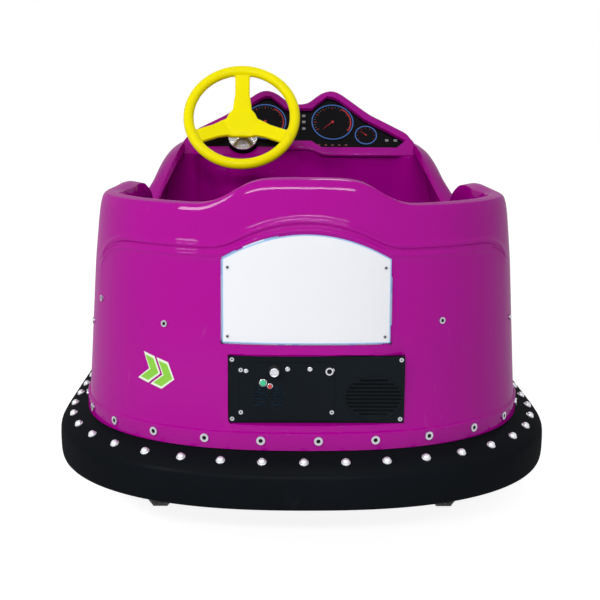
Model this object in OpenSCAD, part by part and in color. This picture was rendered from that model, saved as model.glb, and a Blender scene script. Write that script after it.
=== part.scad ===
// Two-seat battery bumper car: moulded body, rubber bumper ring, three wheels.
// X points to the car's right, Y forward, Z up; the origin is on the ground in the middle.

/* [Overall] */
// Length over the rubber bumper
car_len = 1850; // [1750:10:1950]
// Width over the rubber bumper
car_w = 1150; // [1080:10:1220]
// Length of the curved rear end
rear_bow = 513; // [460:1:560]
// Length of the curved front end
front_bow = 600; // [540:1:660]
// Squareness of the curved ends
bow_power = 2.4; // [2.2:0.05:2.8]

/* [Rubber bumper] */
// Height of the bumper's underside above the ground
bumper_z = 122; // [110:1:140]
// Height of the rubber
rubber_h = 110; // [95:1:125]
// Depth of the rubber from its outer face to the rail
rubber_t = 70; // [62:1:78]
// Rounding of the rubber's outer edges
rubber_round = 14; // [10:1:18]
// Fall of the rubber's top from the body to its outer edge
rubber_fall = 26; // [20:1:32]
// Thickness of the steel rail behind the rubber
rail_t = 6; // [5:0.5:8]

/* [Body shell] */
// Height of the bolted skirt band
skirt_h = 36; // [30:1:42]
// Thickness of the skirt band
skirt_t = 6; // [4:0.5:8]
// Thickness of the double wall
wall_t = 62; // [54:1:68]
// Extra thickness of the wall in the arms beside the seat and along the sill
arm_t = 60; // [44:1:62]
// Inward lean of the wall for each unit of height
wall_lean = 0.064; // [0.04:0.002:0.09]
// Height of the rim behind the seat
rim_z = 735; // [710:1:745]
// Extra height of the hump in the middle of the rim
hump_h = 54; // [40:1:66]
// Half width of the hump where it leaves the rim
hump_w = 228; // [200:1:250]
// Extra height of the lumps at the front ends of the rim
lump_h = 10; // [6:1:16]
// Place of the lumps along the car
lump_y = -400; // [-440:5:-340]
// Height of the sill at the lowest point of the opening
sill_z = 600; // [560:5:640]
// Place of the lowest point of the opening
sill_y = -30; // [-60:5:0]
// Height of the bonnet's edge beside the dash
cowl_side_z = 790; // [770:1:810]
// Height of the bonnet's edge in front of the dash
cowl_front_z = 835; // [815:1:860]
// Half width of the bonnet's edge beside the dash
cowl_half_w = 345; // [335:1:355]
// Place of the bonnet's edge beside the dash
cowl_side_y = 200; // [180:1:230]
// Place of the bonnet's edge in front of the dash
cowl_front_y = 470; // [440:1:500]
// Thickness of the bonnet at its edge
cowl_t = 22; // [16:1:30]
// Height of the upper moulded bead on the rear wall
bead_z = 652; // [640:1:660]
// Rise of the beads over the sign
bead_arch = 56; // [44:1:60]
// Pitch of the two beads
bead_pitch = 19; // [17:1:21]
// How far the beads stand proud of the wall
bead_h = 5; // [3:0.5:6]

/* [Dash] */
// Tilt of the dash face's normal above the level
dash_tilt = 37; // [32:1:42]
// Height of the lip under the dash
dash_z = 768; // [750:1:780]
// Place of the lip under the dash
dash_y = 240; // [230:1:260]
// Height of the two humps above the lip, along the dash face
dash_hump = 237; // [220:1:250]
// Height of the saddle between the humps, along the dash face
dash_saddle = 184; // [170:1:195]
// Distance of each hump from the middle
dash_hump_x = 96; // [88:1:104]
// Rounding of the hood's edge and of the lip under the dash
dash_round = 8; // [6:1:10]
// Depth of the black panel below the rim
dash_recess = 16; // [12:1:20]
// Thickness of the black panel
dash_panel_t = 4; // [3:0.5:6]
// Radius of the big gauges
gauge_big_r = 63; // [58:1:66]
// Radius of the small gauges
gauge_small_r = 33; // [28:1:36]

/* [Steering] */
// Outer diameter of the steering wheel
wheel_d = 332; // [300:2:350]
// Thickness of the steering wheel's rim
wheel_rim_d = 30; // [26:1:34]
// Dish of the steering wheel, from rim to hub
wheel_dish = 28; // [20:1:36]
// Radius of the steering wheel's hub
wheel_hub_r = 40; // [34:1:46]
// Thickness of the steering wheel's spokes
spoke_t = 14; // [12:1:18]
// Distance of the steering wheel to the left of the middle
wheel_x = 165; // [150:1:175]
// Place of the steering wheel's centre along the car
wheel_y = 150; // [130:1:165]
// Height of the steering wheel's centre
wheel_z = 880; // [870:1:895]
// Tilt of the steering column above the level
column_tilt = 32; // [30:1:34]
// Diameter of the steering shaft
shaft_d = 22; // [18:1:26]
// Outer diameter of the column tube
column_d = 40; // [36:1:46]
// Length of the turned end of the steering shaft
shaft_end = 20; // [16:1:24]
// Distance from the wheel's plane to the polished column cap
cap_s = 112; // [106:1:120]
// Diameter of the polished column cap
cap_d = 86; // [76:1:96]

/* [Seat] */
// Height of the seat bench
bench_z = 400; // [385:1:420]
// Place of the bench's front riser
bench_y = -300; // [-320:5:-280]
// Thickness of the bench moulding and other thin mouldings
mould_t = 8; // [6:1:10]
// Thickness of the seat cushion
cushion_t = 70; // [55:1:85]
// Thickness of the back cushion
back_t = 58; // [48:1:68]
// Height of the back cushion
back_h = 200; // [170:5:220]

/* [Chassis] */
// Width of the two long frame tubes
tube_w = 40; // [34:1:46]
// Height of the frame tubes
tube_h = 30; // [26:1:34]
// Distance between the middles of the long tubes
rail_gauge = 460; // [440:2:480]
// Height of the frame tubes' underside
frame_z = 134; // [128:1:138]
// Thickness of the floor pan
floor_t = 5; // [4:0.5:6]
// Length of the battery pack
battery_len = 330; // [300:5:340]
// Width of the battery pack
battery_w = 340; // [300:5:380]
// Height of the battery pack
battery_h = 205; // [180:5:210]

/* [Wheels] */
// Diameter of the front drive wheel
drive_d = 250; // [230:2:260]
// Width of the front drive tyre
drive_w = 60; // [50:1:66]
// Diameter of the hub motor
motor_d = 150; // [130:2:160]
// Distance of the drive wheel behind the bumper's front end
drive_in = 325; // [320:1:330]
// Diameter of the rear wheels
rear_d = 200; // [180:2:210]
// Width of the rear tyres
rear_w = 50; // [40:1:56]
// Diameter of the rear rims
rear_rim_d = 120; // [104:2:130]
// Distance between the rear wheels' middles
rear_track = 660; // [640:2:680]
// Distance of the rear axle from the bumper's rear end
rear_in = 365; // [345:5:385]
// Diameter of the axles
axle_d = 20; // [18:1:22]
// Diameter of the turned ends of the rear axle
axle_end_d = 16; // [12:1:16]
// Length of the turned ends of the axle and of the kingpin
axle_end = 15; // [12:1:18]
// Diameter of the fork's kingpin
kingpin_d = 30; // [28:1:34]

/* [Rear panels] */
// Width of the blank sign
sign_w = 344; // [320:2:360]
// Height of the sign's lower edge
sign_z = 455; // [448:1:462]
// Distance of the sign's arched top below the lower bead
sign_margin = 4; // [3.5:0.5:8]
// Thickness of the sign
sign_t = 3; // [2:0.5:5]
// Width of the black control panel
panel_w = 364; // [340:2:380]
// Height of the black control panel
panel_h = 142; // [130:1:146]
// Height of the control panel's lower edge
panel_z = 285; // [281:1:292]
// Distance of the control panel to the right of the middle
panel_x = 22; // [10:1:30]
// Thickness of the control panel
panel_t = 5; // [4:0.5:7]

/* [Clearances] */
// Gap between pieces that sit against each other
seat_gap = 0.3; // [0.2:0.05:0.4]
// Gap round a turning shaft
run_gap = 0.05; // [0.03:0.01:0.08]

/* [Hidden] */

body_color = [0.66, 0.0, 0.58];
rubber_color = [0.10, 0.11, 0.12];
steel_color = [0.62, 0.63, 0.65];
black_color = [0.07, 0.07, 0.08];
wheel_color = [1.0, 0.86, 0.0];
frame_color = [0.16, 0.17, 0.18];
pad_color = [0.12, 0.12, 0.13];
white_color = [0.93, 0.94, 0.96];

bow_exp = 2 / bow_power;
rear_mid_y = rear_bow - car_len / 2;
front_mid_y = car_len / 2 - front_bow;
skirt_z = bumper_z + rubber_h;
crease_z = skirt_z + skirt_h + 3;
wall_z = skirt_z + skirt_h - 6;
wall_in = rubber_t;
rail_in = rubber_t + rail_t;
wall_rows = 8;
crown_row = 4;
edge_in = 6;
heel_power = 6;
lump_power = 3;
toe_power = 2.2;
rear_y = rear_in - car_len / 2;
drive_y = car_len / 2 - drive_in;
bow_steps = 32;
side_steps = 6;

// Where a station lies in plan: [front end?, angle from the middle, distance back from the bow]
function bow_x(u) = sign(sin(u)) * pow(abs(sin(u)), bow_exp);
function bow_y(u) = pow(abs(cos(u)), bow_exp);
function plan(st, inset) = [
    (car_w / 2 - inset) * bow_x(st[1]),
    st[0] ? front_mid_y + (front_bow - inset) * bow_y(st[1]) - st[2]
          : rear_mid_y - (rear_bow - inset) * bow_y(st[1]) + st[2]];
function at(st, inset, z) = [each plan(st, inset), z];
function side_run(front, u, run, back) =
    [for (i = [1 : side_steps]) [front, u, run * (back ? side_steps + 1 - i : i) / side_steps]];
function bow(front) = [for (i = [0 : bow_steps]) [front, -90 + 180 * i / bow_steps, 0]];
function half_ring(front, run) = concat(side_run(front, -90, run, true), bow(front),
                                        side_run(front, 90, run, false));
heel_run = sill_y - rear_mid_y;
toe_run = front_mid_y - sill_y;
heel_stations = half_ring(false, heel_run);
toe_stations = half_ring(true, toe_run);
function reversed(list) = [for (i = [len(list) - 1 : -1 : 0]) list[i]];
function inner_part(list) = [for (i = [1 : len(list) - 2]) list[i]];
ring_stations = concat(heel_stations, reversed(inner_part(toe_stations)));

function ease(t) = t <= 0 ? 0 : t >= 1 ? 1 : (1 - cos(180 * t)) / 2;
function mix(a, b, t) = a + (b - a) * t;

// Faces between loops of the same number of points, with both ends or both caps closed
function loop_sides(loops, size, closed) = [
    for (i = [0 : (closed ? loops : loops - 1) - 1]) for (k = [0 : size - 1])
        let (a = i * size + k, b = i * size + (k + 1) % size,
             c = ((i + 1) % loops) * size + k, d = ((i + 1) % loops) * size + (k + 1) % size)
            each [[a, b, d], [a, d, c]]];
module sweep_solid(loops) {
    size = len(loops[0]);
    count = len(loops);
    polyhedron(points = [for (l = loops) each l],
               faces = concat(loop_sides(count, size, false),
                              [reversed([for (k = [0 : size - 1]) k])],
                              [[for (k = [0 : size - 1]) (count - 1) * size + k]]));
}
module ring_solid(loops) {
    polyhedron(points = [for (l = loops) each l], faces = loop_sides(len(loops), len(loops[0]), true));
}

// Height of the rim round the rear half: hump, corners, lumps and the fall to the sill
hump_slope = 0.53;
lump_reach = 150;
lump_flat = 70;
function lump_share(p) = ease(1 - abs(p[1] - lump_y) / lump_reach) * (abs(p[0]) > car_w / 4 ? 1 : 0);
function rim_height(st) =
    let (p = plan(st, wall_in), hump = hump_h * ease((hump_w - abs(p[0])) / (hump_w * hump_slope)),
         fall = ease((p[1] - lump_y - lump_flat) / (sill_y - lump_y - lump_flat)))
    mix(rim_z + hump + lump_h * lump_share(p), sill_z, fall);
function heel_p(st) = mix(heel_power, lump_power, lump_share(plan(st, wall_in)));
function lean_at(z) = wall_in + wall_lean * (z - crease_z);
function crown_inset(z, arm = 0) = lean_at(z) + (wall_t + arm - edge_in) / 2;

// Extra thickness of the wall at a station, which fades out below the top of the arm
arm_from_y = -560;
arm_run = 120;
function arm(st) = arm_t * (st[0] ? 1 - ease(1.2 * toe_t(st))
                                  : ease((plan(st, wall_in)[1] - arm_from_y) / arm_run));
function inner_inset(st, z, s) = lean_at(z) + wall_t + arm(st) * pow(s, 3);
function row_c(k, power) = pow(cos(90 * k / wall_rows), 2 / power);
function row_s(k, power) = pow(sin(90 * k / wall_rows), 2 / power);

// The two beads round the rear wall: level at the sides, arched over the sign, falling at their ends
bead_half_w = 180;
bead_fall_y = -730;
bead_end_y = -600;
bead_fall = 0.004;
bead_foot = 0.38;
bead_shape = [ // [height in pitches, share of the bead's height]
    [-1 - bead_foot, 0], [-1.2, 0.75], [-1, 1], [-0.8, 0.75], [-1 + bead_foot, 0],
    [-bead_foot, 0], [-0.2, 0.75], [0, 1], [0.2, 0.75], [bead_foot, 0]];
function bead_arched(x) = bead_z + bead_arch * max(0, 1 - pow(x / bead_half_w, 2));
function bead_line(st) =
    let (p = plan(st, wall_in), top = rim_height(st),
         drop = bead_fall * pow(max(0, min(p[1], bead_end_y) - bead_fall_y), 2))
    min(bead_arched(p[0]) - drop, mix(crease_z, top, row_s(crown_row, heel_p(st))) - 0.7 * bead_pitch);
function bead_size(st) = let (y = plan(st, wall_in)[1]) bead_h * ease((bead_end_y - y) / 60);

function skirt_points(st) = [at(st, wall_in - skirt_t, skirt_z + seat_gap),
                             at(st, wall_in - skirt_t, skirt_z + skirt_h)];
function foot_points(st) = [at(st, wall_in - seat_gap, wall_z),
                            at(st, wall_in - seat_gap, skirt_z + seat_gap)];
function heel_outer(st, k) =
    let (top = rim_height(st), p = heel_p(st), z = mix(crease_z, top, row_s(k, p)))
    at(st, mix(crown_inset(top, arm(st)), lean_at(z), row_c(k, p)), z);
function heel_bead(st, b) =
    let (top = rim_height(st), p = heel_p(st), z = bead_line(st) + b[0] * bead_pitch,
         s = (z - crease_z) / (top - crease_z))
    at(st, mix(crown_inset(top, arm(st)), lean_at(z), pow(1 - pow(s, p), 1 / p)) - b[1] * bead_size(st), z);
function heel_inner(st, k, gap = 0) =
    let (top = rim_height(st), p = heel_p(st), s = row_s(k, p), z = mix(wall_z, top, s))
    at(st, mix(crown_inset(top, arm(st)) + edge_in, inner_inset(st, z, s) + gap, row_c(k, p)), z);
function heel_loop(st) = concat(
    skirt_points(st),
    [heel_outer(st, 0)],
    [for (b = bead_shape) heel_bead(st, b)],
    [for (k = [crown_row : wall_rows]) heel_outer(st, k)],
    [for (k = [wall_rows : -1 : 0]) heel_inner(st, k)],
    foot_points(st));

// The bonnet's edge: along the sides it rises from the sill, then it runs round in front of the dash
function toe_t(st) = 1 - st[2] / toe_run;
function toe_p(st) = mix(heel_power, toe_power, ease(1.4 * toe_t(st)));
function crown(st) =
    let (t = toe_t(st), c = bow_y(st[1]), y0 = sill_y + t * (cowl_side_y - sill_y))
    [mix(car_w / 2 - crown_inset(sill_z, arm_t), cowl_half_w, ease(t)) * bow_x(st[1]),
     y0 + (cowl_front_y - cowl_side_y) * c,
     mix(sill_z, cowl_side_z, ease(t)) + (cowl_front_z - cowl_side_z) * c];
function toe_outer(st, k) =
    let (top = crown(st), p = toe_p(st), z = mix(crease_z, top[2], row_s(k, p)),
         b = plan(st, lean_at(z)), c = row_c(k, p))
    [mix(top[0], b[0], c), mix(top[1], b[1], c), z];
function toe_inner(st, k, gap = 0) =
    let (o = crown(st), t = ease(toe_t(st)), p = toe_p(st), s = row_s(k, p),
         top = [o[0] - (edge_in + gap) * bow_x(st[1]), o[1] - (edge_in + gap) * bow_y(st[1]),
                o[2] - cowl_t * t - gap],
         z = mix(wall_z, top[2], s), b = plan(st, inner_inset(st, z, s) + gap), c = row_c(k, p))
    [mix(top[0], b[0], c), mix(top[1], b[1], c), z];
function toe_loop(st) = concat(
    skirt_points(st),
    [for (k = [0 : wall_rows]) toe_outer(st, k)],
    [for (k = [wall_rows : -1 : 0]) toe_inner(st, k)],
    foot_points(st));

// The space inside the rail and the walls, less the seating gap, which trims what is fitted in it
module inner_space() {
    low = 60;
    high = 1300;
    n = len(ring_stations);
    function wall_point(st, k) = st[0] ? toe_inner(st, k, seat_gap) : heel_inner(st, k, seat_gap);
    rows = concat(
        [[for (st = ring_stations) at(st, rail_in + seat_gap, low)]],
        [[for (st = ring_stations) at(st, rail_in + seat_gap, wall_z - seat_gap)]],
        [for (k = [0 : wall_rows]) [for (st = ring_stations)
            let (p = wall_point(st, k)) [p[0], p[1], p[2] - (k == 0 ? seat_gap : 0)]]]);
    last = len(rows) * n;
    polyhedron(
        points = concat([for (r = rows) each r], [[0, 0, high], [0, 0, low]]),
        faces = concat(
            [for (r = [0 : len(rows) - 2]) for (i = [0 : n - 1])
                let (a = r * n + i, b = r * n + (i + 1) % n) each [[a, a + n, b], [a + n, b + n, b]]],
            [for (i = [0 : n - 1]) [last - n + i, last, last - n + (i + 1) % n]],
            [for (i = [0 : n - 1]) [(i + 1) % n, last + 1, i]]));
}

// The space inside the rail alone, for what lies below the walls
module rail_space() {
    linear_extrude(wall_z - seat_gap) polygon([for (st = ring_stations) plan(st, rail_in + seat_gap)]);
}

module rubber_bumper() {
    top = skirt_z;
    lip = wall_in - skirt_t + seat_gap;
    soft = 0.3 * rubber_round;
    profile = [ // [distance from the outer face, height]
        [lip, top], [24, top - rubber_fall * 0.55], [9, top - rubber_fall], [2, top - rubber_fall - 9],
        [0, top - rubber_fall - 20], [0, bumper_z + rubber_round], [soft, bumper_z + soft],
        [rubber_round, bumper_z], [wall_in - seat_gap, bumper_z], [wall_in - seat_gap, top]];
    color(rubber_color)
        ring_solid([for (st = ring_stations) [for (p = profile) at(st, p[0], p[1])]]);
}

module bumper_rail() {
    low = bumper_z + 6;
    high = wall_z - seat_gap;
    color(frame_color)
        ring_solid([for (st = ring_stations)
            [at(st, rubber_t, low), at(st, rubber_t, high), at(st, rail_in, high), at(st, rail_in, low)]]);
}

// Where the control panel sits: a flat plate in a pocket in the curved wall
panel_y = plan([false, 0, 0], lean_at(panel_z + panel_h / 2))[1] + 15;
pocket_deep = 24;
module panel_pocket() {
    translate([panel_x - panel_w / 2 - seat_gap, panel_y - 60, panel_z - seat_gap])
        cube([panel_w + 2 * seat_gap, 60 + pocket_deep, panel_h + 2 * seat_gap]);
}

module heel_shell() {
    color(body_color) difference() {
        sweep_solid([for (st = heel_stations) heel_loop(st)]);
        panel_pocket();
    }
}

module toe_shell() {
    color(body_color) sweep_solid(reversed([for (st = toe_stations) toe_loop(st)]));
}

// Height of the dash hood along the dash face, at a distance from the middle
hood_table = [ // [distance from the middle, height above the lip]
    [0, dash_saddle], [28, dash_saddle + 2], [62, dash_hump - 15], [dash_hump_x, dash_hump],
    [122, dash_hump - 9], [212, dash_hump - 89], [257, dash_hump - 116], [323, dash_hump - 157],
    [331, dash_hump - 167], [cowl_half_w - 4, dash_hump - 192]];
// Height of the lip under the dash, which runs up in the middle and down round the column
lip_table = [ // [place across the car, height along the dash face]
    [-cowl_half_w, 0], [-wheel_x - 67, 0], [-wheel_x - 35, -12], [-wheel_x, -18], [-wheel_x + 35, -12],
    [-wheel_x + 67, 0], [-66, 0], [-38, 20], [38, 20], [66, 0], [cowl_half_w, 0]];
hood_soft = 7;
function hood_b(x) = (lookup(abs(x - hood_soft), hood_table) + lookup(abs(x), hood_table)
                      + lookup(abs(x + hood_soft), hood_table)) / 3;
function lip_b(x) = (lookup(x - hood_soft, lip_table) + lookup(x, lip_table)
                     + lookup(x + hood_soft, lip_table)) / 3;
function on_dash(x, b, depth = 0) = [
    x, dash_y + b * sin(dash_tilt) + depth * cos(dash_tilt),
    dash_z + b * cos(dash_tilt) - depth * sin(dash_tilt)];
module place_dash(depth = 0) {
    translate(on_dash(0, 0, depth)) rotate([90 - dash_tilt, 0, 0]) children();
}

// Outline of the black panel, on the dash face
panel_table = [ // [distance from the middle, height above the lip], from the tip over the hump
    [316, 54], [257, 92], [196, 129], [125, 197], [104, 209], [86, 211], [56, 184], [40, 166]];
panel_low = [[36, 50], [66, 28], [290, 28]];
module dash_outline() {
    polygon(concat(panel_table, [for (p = reversed(panel_table)) [-p[0], p[1]]],
                   [for (p = reversed(panel_low)) [-p[0], p[1]]], panel_low));
    translate([-wheel_x, 50]) circle(r = 48, $fn = 48);
}

// Local frame of the steering column: its z axis points up and back to the driver
module on_column(s = 0) {
    translate([-wheel_x, wheel_y, wheel_z]) rotate([90 - column_tilt, 0, 0]) translate([0, 0, -s]) children();
}

column_len = 210;
module column_hole(d) {
    on_column(cap_s + 2 * column_len) cylinder(d = d, h = 2 * column_len, $fn = 64);
}

// The dash hood in slices across the car, from the lip over the top to the bonnet's edge
hood_steps = 26;
edge_table = [for (i = [0 : bow_steps / 2])
    let (u = 180 * i / bow_steps) [cowl_half_w * bow_x(u), bow_y(u)]];
function hood_slice(x, gap = 0) =
    let (c = lookup(abs(x), edge_table), l = lip_b(x), h = hood_b(x), r = dash_round,
         back = on_dash(x, h, r), y = max(mix(cowl_side_y, cowl_front_y, c), back[1] + 4),
         z = mix(cowl_side_z, cowl_front_z, c) + 2 * seat_gap - gap)
    [on_dash(x, l - gap, r), on_dash(x, l + 0.3 * r - gap, 0.3 * r), on_dash(x, l + r),
     on_dash(x, h - r), on_dash(x, h - 0.3 * r, 0.3 * r), back,
     [x, mix(back[1], y, 0.35), mix(back[2], z, 0.18)], [x, mix(back[1], y, 0.7), mix(back[2], z, 0.55)],
     [x, y, z]];
module hood_space(gap = 0) {
    wide = cowl_half_w - 4;
    sweep_solid([for (i = [-hood_steps : hood_steps]) let (t = i / hood_steps)
        hood_slice(wide * (t + sin(90 * t)) / 2, gap)]);
}
// The bonnet near its edge with the seating gap round it, which trims the hood
module bonnet_edge() {
    sweep_solid(reversed([for (st = toe_stations) concat(
        [for (k = [crown_row : wall_rows]) toe_outer(st, k) + [0, 0, seat_gap]],
        [for (k = [wall_rows : -1 : crown_row]) toe_inner(st, k, seat_gap)])]));
}

module dash_cowl() {
    color(body_color) difference() {
        hood_space();
        bonnet_edge();
        place_dash(dash_recess) linear_extrude(4 * dash_recess) dash_outline();
        column_hole(column_d + 2 * seat_gap);
    }
}

module dash_panel() {
    color(black_color) difference() {
        place_dash(dash_recess - seat_gap) linear_extrude(dash_panel_t)
            offset(delta = -seat_gap) dash_outline();
        column_hole(column_d + 6);
    }
}

gauges = [ // [distance from the middle, height above the lip, radius]
    [101, 123, gauge_big_r], [200, 77, gauge_small_r], [-101, 123, gauge_big_r]];
module gauge_rings() {
    color(steel_color) place_dash(dash_recess - dash_panel_t - 2 * seat_gap) for (g = gauges)
        translate([g[0], g[1], 0]) difference() {
            cylinder(r = g[2], h = 3, $fn = 64);
            translate([0, 0, -1]) cylinder(r = g[2] - 3, h = 5, $fn = 64);
        }
}
module gauge_faces() {
    color(black_color) place_dash(dash_recess - dash_panel_t - 2 * seat_gap) for (g = gauges)
        translate([g[0], g[1], 0]) cylinder(r = g[2] - 3 - seat_gap, h = 1.5, $fn = 64);
}

// The wall between the dash and the floor, in front of the knees, with a fold in each corner
floor_z = frame_z + tube_h + floor_t + 2 * seat_gap;
knee_low_y = 438;
knee_top_y = dash_y + 22;
knee_fold = 20;
knee_fold_x = 285;
knee_tilt = atan((knee_low_y - knee_top_y) / (dash_z - floor_z));
module knee_sheet(high, outline) {
    translate([0, knee_low_y, floor_z]) rotate([knee_tilt, 0, 0])
        translate([0, 0, -mould_t * tan(knee_tilt)])
            linear_extrude((high - floor_z) / cos(knee_tilt) + 2 * mould_t * tan(knee_tilt)) polygon(outline);
}
module knee_panel() {
    half = car_w / 2;
    side = [[knee_fold_x - 1, mould_t], [knee_fold_x, 0], [knee_fold_x + 24, -knee_fold], [half, -knee_fold],
            [half, mould_t]];
    color(body_color) difference() {
        intersection() {
            union() {
                knee_sheet(dash_z + dash_round, [[-knee_fold_x, 0], [knee_fold_x, 0], [knee_fold_x, mould_t],
                                                 [-knee_fold_x, mould_t]]);
                intersection() {
                    union() {
                        knee_sheet(dash_z, side);
                        mirror([1, 0, 0]) knee_sheet(dash_z, side);
                    }
                    translate([-half, 0, 0]) cube([car_w, knee_low_y + mould_t, dash_z - seat_gap]);
                }
            }
            inner_space();
            translate([-half, 0, floor_z]) cube([car_w, car_len / 2, dash_z]);
        }
        hood_space(seat_gap);
    }
}

module floor_pan() {
    color(frame_color) intersection() {
        translate([-car_w / 2, bench_y, frame_z + tube_h + seat_gap])
            cube([car_w, knee_low_y + mould_t - bench_y, floor_t]);
        rail_space();
    }
}

module seat_bench() {
    low = floor_z;
    nose = 20;
    color(body_color) intersection() {
        translate([-car_w / 2, 0, 0]) rotate([90, 0, 90]) linear_extrude(car_w)
            polygon([[bench_y, low], [bench_y, bench_z - nose], [bench_y - nose, bench_z],
                     [-car_len / 2, bench_z], [-car_len / 2, bench_z - mould_t],
                     [bench_y - nose, bench_z - mould_t],
                     [bench_y - mould_t, bench_z - nose - mould_t / 2], [bench_y - mould_t, low]]);
        inner_space();
    }
}

cushion_inset = wall_in + wall_t + 28;
module seat_cushion() {
    spread = 66;
    outline = [for (i = [0 : 16]) plan([false, -spread + 2 * spread * i / 16, 0], cushion_inset)];
    front_y = bench_y - 14;
    color(pad_color) translate([0, 0, bench_z + seat_gap]) linear_extrude(cushion_t)
        polygon(concat(outline, [[outline[16][0], front_y], [outline[0][0], front_y]]));
}

module back_cushion() {
    spread = 10;
    low = bench_z + cushion_t + 2 * seat_gap;
    high = low + back_h;
    function pad_at(st, depth, z) = at(st, lean_at(z) + wall_t + seat_gap + depth * back_t, z);
    function pad_loop(st) = [
        pad_at(st, 0, low + 12), pad_at(st, 0, high - 14), pad_at(st, 0.35, high), pad_at(st, 0.8, high - 12),
        pad_at(st, 1, high - 50), pad_at(st, 1, low + 30), pad_at(st, 0.8, low)];
    color(pad_color)
        sweep_solid([for (i = [-spread : spread]) pad_loop([false, 180 * i / bow_steps, 0])]);
}

// The blank sign: a thin plate that follows the curved rear wall under an arched top
module sign_plate() {
    steps = 24;
    rows = 5;
    function wall_y(x, z, gap) =
        let (d = lean_at(z) - gap, q = pow(abs(x) / (car_w / 2 - d), bow_power))
        rear_mid_y - (rear_bow - d) * pow(1 - q, 1 / bow_power);
    function top_z(x) = bead_arched(x) - (1 + bead_foot) * bead_pitch - sign_margin;
    function sign_point(x, r, gap) = let (z = mix(sign_z, top_z(x), r / rows)) [x, wall_y(x, z, gap), z];
    function strip(x) = concat([for (r = [0 : rows]) sign_point(x, r, sign_t)],
                               [for (r = [rows : -1 : 0]) sign_point(x, r, 2 * seat_gap)]);
    color(white_color)
        sweep_solid([for (i = [0 : steps]) strip(sign_w * (i / steps - 0.5))]);
}

vent_rows = 7;
vent_at = [54, 36];
vent_slot = [27, 2.4];
vent_pitch = [34, 6.4];
grille_rows = 10;
grille_pitch = 8;
grille_slot = 4;
grille_r = 57;
grille_squash = 1.9;
grille_at = [300, 55];
module panel_slot(x, z, wide, high) {
    translate([panel_x - panel_w / 2 + x, panel_y - 1, panel_z + z]) cube([wide, panel_t + 2, high]);
}
module control_panel() {
    color(black_color) difference() {
        translate([panel_x - panel_w / 2, panel_y, panel_z]) cube([panel_w, panel_t, panel_h]);
        for (col = [0, 1]) for (i = [0 : vent_rows - 1])
            panel_slot(vent_at[0] + col * vent_pitch[0], vent_at[1] + i * vent_pitch[1], vent_slot[0],
                       vent_slot[1]);
        for (i = [0 : grille_rows - 1])
            let (h = (i - (grille_rows - 1) / 2) * grille_pitch,
                 half = sqrt(grille_r * grille_r - grille_squash * h * h))
                panel_slot(grille_at[0] - half, grille_at[1] + h - grille_slot / 2, 2 * half, grille_slot);
    }
}

module on_panel(x, z, gap = 0) {
    translate([panel_x - panel_w / 2 + x, panel_y - gap, panel_z + z]) rotate([90, 0, 0]) children();
}
module panel_knob() {
    color(steel_color) on_panel(95, 111, seat_gap) {
        cylinder(d = 26, h = 3, $fn = 48);
        cylinder(d = 20, h = 15, $fn = 48);
    }
}
small_controls = [ // [from the panel's left edge, from its lower edge, diameter, height]
    [72, 86, 16, 6], [86, 79, 12, 5], [122, 115, 10, 6], [168, 115, 10, 6], [208, 111, 18, 5],
    [37, 111, 9, 7]];
module panel_buttons() {
    color(steel_color) for (b = small_controls)
        on_panel(b[0], b[1], seat_gap) cylinder(d = b[2], h = b[3], $fn = 32);
}

cap_t = 6;
cap_cone = 10;
module column_cap() {
    color(steel_color) on_column(cap_s) difference() {
        union() {
            translate([0, 0, -cap_t]) cylinder(d = cap_d, h = cap_t, $fn = 96);
            cylinder(d1 = cap_d, d2 = shaft_d + 12, h = cap_cone, $fn = 96);
        }
        translate([0, 0, -cap_t - 1]) cylinder(d = shaft_d + 2 * run_gap, h = cap_t + cap_cone + 2, $fn = 64);
    }
}

module column_tube() {
    color(steel_color) on_column(cap_s + cap_t + column_len) difference() {
        cylinder(d = column_d, h = column_len - seat_gap, $fn = 64);
        translate([0, 0, -1]) cylinder(d = shaft_d + 6, h = column_len + 2, $fn = 64);
    }
}

// The wheel: a round rim and a hub, joined by three spokes that widen and dish towards the hub
spoke_angles = [90, 207, 333];
spoke_w = 42;
module steering_wheel() {
    ring_r = (wheel_d - wheel_rim_d) / 2;
    run = ring_r - wheel_hub_r;
    flare = 0.75 * wheel_hub_r;
    bore = shaft_d + 2 * seat_gap;
    hub_low = -wheel_dish - spoke_t;
    hub_web = wheel_hub_r * [[-1.55, -0.95], [-0.8, -1.25], [0.8, -1.25], [1.55, -0.95],
                             [0.75, 0], [-0.75, 0]];
    module spoke(angle) {
        rotate([0, 0, angle]) translate([wheel_hub_r, 0, -wheel_dish]) rotate([0, -atan(wheel_dish / run), 0])
            translate([0, 0, -spoke_t / 2]) linear_extrude(spoke_t)
                polygon([[-flare, -flare], [0.12 * run, -0.62 * spoke_w], [0.4 * run, -spoke_w / 2],
                         [run + 8, -spoke_w / 2], [run + 8, spoke_w / 2], [0.4 * run, spoke_w / 2],
                         [0.12 * run, 0.62 * spoke_w], [-flare, flare]]);
    }
    color(wheel_color) on_column() difference() {
        union() {
            rotate_extrude($fn = 96) translate([ring_r, 0]) circle(d = wheel_rim_d, $fn = 32);
            translate([0, 0, hub_low]) cylinder(r = wheel_hub_r + 4, h = 2 * spoke_t - 4, $fn = 64);
            for (angle = spoke_angles) spoke(angle);
            translate([0, 0, -wheel_dish - spoke_t / 2]) linear_extrude(spoke_t) polygon(hub_web);
        }
        translate([0, 0, hub_low - 6]) cylinder(d = bore, h = 2 * spoke_t - 6, $fn = 64);
    }
}

module steering_shaft() {
    end_s = cap_s + cap_t + column_len + shaft_end;
    color(steel_color) on_column(end_s) union() {
        translate([0, 0, shaft_end])
            cylinder(d = shaft_d, h = end_s - wheel_dish - shaft_end - 2 * seat_gap, $fn = 64);
        cylinder(d = shaft_d - 4, h = shaft_end + 1, $fn = 64);
    }
}

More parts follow.
